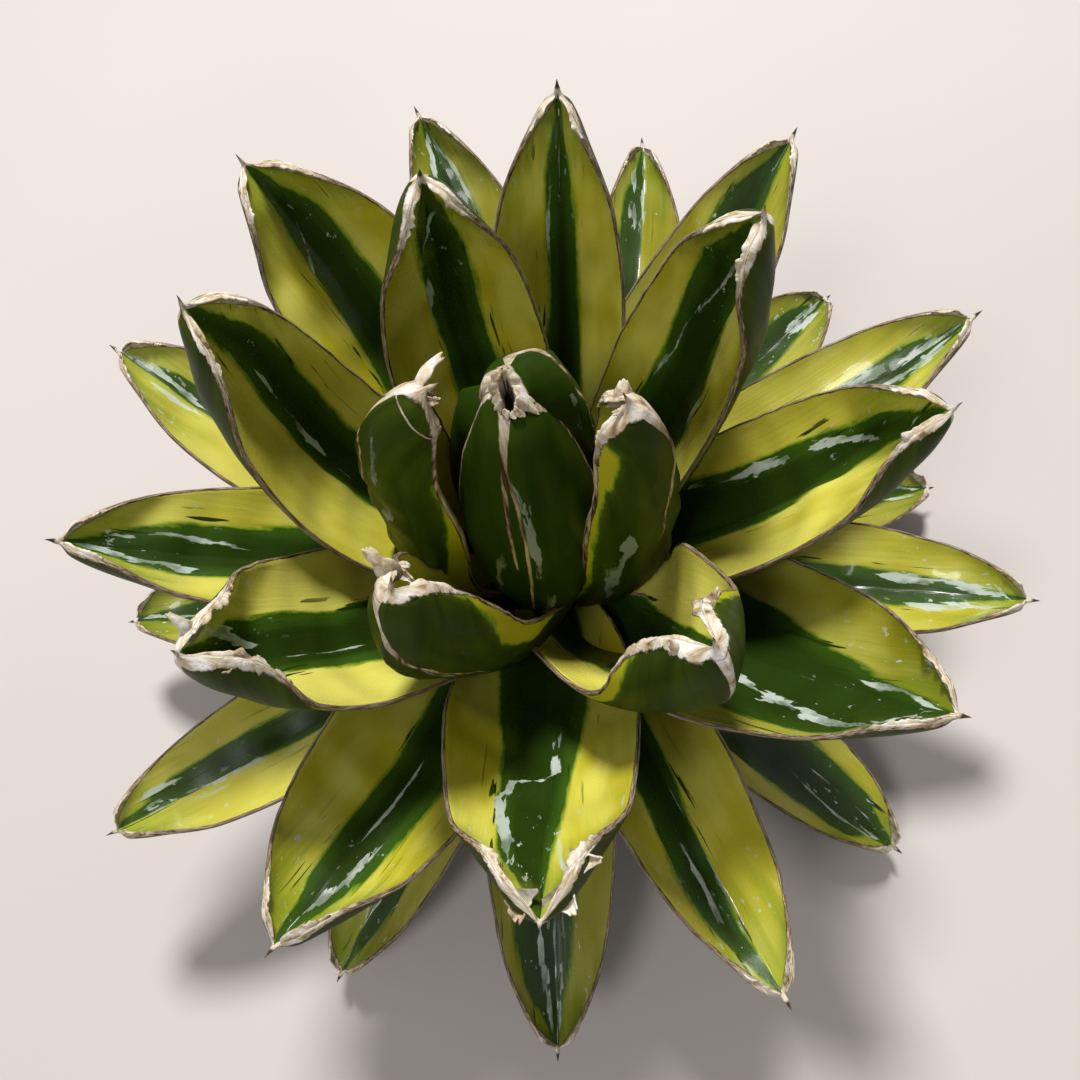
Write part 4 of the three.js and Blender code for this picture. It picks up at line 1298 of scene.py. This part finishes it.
def makeStem():
    # the lowest rings lie in the cut face and the rest climb to the crown
    looks = stemLooks
    stem = modelTube("stemWood", looks["around"], looks["ringSteps"])
    up, angle = ringPlaces(stem)
    rings = math.prod(looks["ringSteps"])
    row = np.rint(up * rings)
    foot = row <= looks["footRings"]
    share = np.clip(row / looks["footRings"], 0, 1)
    crown = looks["profile"][-1][0]
    z = crown * np.clip((row - looks["footRings"]) / (rings - looks["footRings"]), 0, 1)
    radius = curveAt(looks["profile"], z)
    scars, rise = np.zeros(len(z)), np.zeros(len(z))
    halfWide, halfTall = looks["scarHalf"]
    for k in range(looks["scarCount"]):
        high = looks["scarTop"] - looks["scarStep"] * k
        turn = math.radians(looks["scarTurn"] * k)
        side = ((angle - turn + math.pi) % (2 * math.pi) - math.pi) * radius
        gap = np.hypot(side / halfWide, (z - high + looks["scarSag"] * side ** 2) / halfTall)
        scars = np.maximum(scars, 1 - easeStep(gap, 0.75, 1.0))
        rise = np.maximum(rise, looks["scarRise"] * np.exp(-((gap - 1.0) / 0.22) ** 2))
    grown = easeStep(z, 0.6, 2.0) * (1 - easeStep(z, 27, 31))
    barky = easeStep(z, 0.2, 1.5) * (1 - easeStep(z, 36, 40))
    radius = radius + (rise - looks["scarDeep"] * scars - looks["barkDeep"]) * grown
    radius = radius + looks["barkRough"] * noiseRound(angle, 9, 0.9 * z) * barky
    radius = np.where(foot, looks["footRadius"] * share, radius)
    cutGrain = np.clip(noiseRound(angle, 0.9 * radius, 3) + 0.35, 0, 1)
    z = np.where(foot, looks["cutRough"] * cutGrain * (1 - easeStep(share, 0.9, 1.0)), z)
    writeMark(stem.data, "scarShare", scars * grown)
    writeMark(stem.data, "cutShare", np.where(foot, 1 - easeStep(share, 0.985, 1.0), 0))
    writeMark(stem.data, "rimShare", np.where(foot, share, 1.0))
    setVertices(stem.data, np.stack([radius * np.cos(angle), radius * np.sin(angle), z], 1))
    mergeDoubles(stem, 0.02 * mm, faceOutwards=True)
    stem.data.materials.append(makeStemSkin())
    finishPiece(stem, "stem")


# bud: the innermost leaves wrapped round each other in a slim cone
budLooks = {
    "around": 120, "ringSteps": (10, 13), "crown": 45.0, "shift": 3.0,
    # radius in mm at each height in mm above the crown
    "profile": ((0.5, 2.5), (10, 4.6), (26, 5.4), (44, 4.8), (60, 3.1), (71, 1.2), (74, 0.4)),
    "wraps": 3, "twist": 1.4, "step": 0.22, "lip": 0.03, "lipAt": 0.93,
    "green": "2c4a12", "pale": "7d9435", "horn": "a3906f", "hornDark": "4a3826",
}


def makeBudSkin():
    looks = budLooks
    material, surface = newMaterial("budSkin")
    place = objectPlace(surface)
    ridge = attribute(surface, "ridgeShare")
    streak = noiseOn(place, (520, 520, 45), 3, 0.6)
    green = ramp(streak, looks, ((0.36, "green"), (0.66, "pale")))
    horn = ramp(noiseOn(place, (900, 900, 260), 3, 0.6), looks, ((0.36, "hornDark"), (0.52, "horn")))
    colour = blendColours(easeBetween(ridge, 0.55, 0.7), green, horn)
    feed(surface, {"Base Color": colour, "Roughness": scaled(ridge, 0.35, 0.32)})
    addBump(surface, streak, 0.5, 0.2)
    return material


def makeBud():
    looks = budLooks
    bud = modelTube("wrappedBud", looks["around"], looks["ringSteps"])
    up, angle = ringPlaces(bud)
    low, high = looks["profile"][0][0], looks["profile"][-1][0]
    z = low + (high - low) * np.clip((up - 0.02) / 0.96, 0, 1)
    radius = curveAt(looks["profile"], z) * easeStep(up, -0.001, 0.012) * (1 - easeStep(up, 0.985, 1.001))
    turn = (angle + looks["twist"] * 2 * math.pi * z / high) * looks["wraps"] / (2 * math.pi)
    share = turn % 1.0
    lip = np.exp(-((share - looks["lipAt"]) / 0.05) ** 2)
    wrapped = looks["step"] * (share * (1 - easeStep(share, 0.95, 1.0)) - 0.5)
    radius = radius * (1 + wrapped + looks["lip"] * lip)
    writeMark(bud.data, "ridgeShare", lip)
    place = [radius * np.cos(angle), radius * np.sin(angle) - looks["shift"], looks["crown"] + z]
    setVertices(bud.data, np.stack(place, 1))
    mergeDoubles(bud, 0.02 * mm, faceOutwards=True)
    bud.data.materials.append(makeBudSkin())
    finishPiece(bud, "bud")


makeStem()
makeBud()
print("stem and bud made")


# floor, light and camera
studio = {
    "floorSize": 6.0, "floorDark": "b9b1ac", "floorPale": "c2bab5", "target": (0, 0, 0.07),
    "keyPlace": (0.1, 0.62, 1.15), "keySize": 0.25, "keyPower": 21,
    "fillPlace": (-0.7, -0.6, 1.6), "fillSize": 0.5, "fillPower": 9,
    "skyLight": 0.26, "skyColour": (1, 0.985, 0.97, 1),
}


def addLamp(name):
    deselectAll()
    place = studio[f"{name}Place"]
    bpy.ops.object.light_add(type="AREA", location=place)
    lamp = bpy.context.object
    lamp.name = f"{name}Light"
    lamp.data.shape = "DISK"
    lamp.data.size = studio[f"{name}Size"]
    lamp.data.energy = studio[f"{name}Power"]
    aim = Vector(studio["target"]) - Vector(place)
    lamp.rotation_mode = "QUATERNION"
    lamp.rotation_quaternion = aim.to_track_quat("-Z", "Y")


def addSky():
    world = bpy.data.worlds.new("studioSky")
    bpy.context.scene.world = world
    world.use_nodes = True
    feed(world.node_tree.nodes["Background"], {0: studio["skyColour"], 1: studio["skyLight"]})


def addFloor():
    deselectAll()
    bpy.ops.mesh.primitive_plane_add(size=studio["floorSize"], location=(0, 0, 0))
    floor = bpy.context.object
    floor.name = "studioFloor"
    material, surface = newMaterial("floorPaint")
    mottle = noiseOn(objectPlace(surface), (3, 3, 3), 3, 0.5)
    tone = ramp(mottle, studio, ((0.3, "floorDark"), (0.7, "floorPale")))
    feed(surface, {"Base Color": tone, "Roughness": 0.7})
    floor.data.materials.append(material)


# the camera stands in front and above, rolled a little, and looks at the crown: mm and degrees
cameraSettings = {
    "target": 50, "elevation": 68.7, "distance": 228.15, "roll": 12.7, "lens": 36.47, "sensor": 36,
}


def addCamera():
    setting = cameraSettings
    e, r = math.radians(setting["elevation"]), math.radians(setting["roll"])
    right = Vector((math.cos(r), -math.sin(r) * math.sin(e), -math.sin(r) * math.cos(e)))
    up = Vector((math.sin(r), math.cos(r) * math.sin(e), math.cos(r) * math.cos(e)))
    back = Vector((0, -math.cos(e), math.sin(e)))
    place = (Vector((0, 0, setting["target"])) + back * setting["distance"]) * mm
    deselectAll()
    bpy.ops.object.camera_add(location=place)
    camera = bpy.context.object
    camera.name = "studioCamera"
    camera.rotation_mode = "QUATERNION"
    camera.rotation_quaternion = Matrix((right, up, back)).transposed().to_quaternion()
    camera.data.lens = setting["lens"]
    camera.data.sensor_width = setting["sensor"]
    camera.data.clip_start = 0.01
    bpy.context.scene.camera = camera


addLamp("key")
addLamp("fill")
addSky()
addFloor()
addCamera()
bpy.context.scene.view_settings.view_transform = "Standard"
print("studio ready")
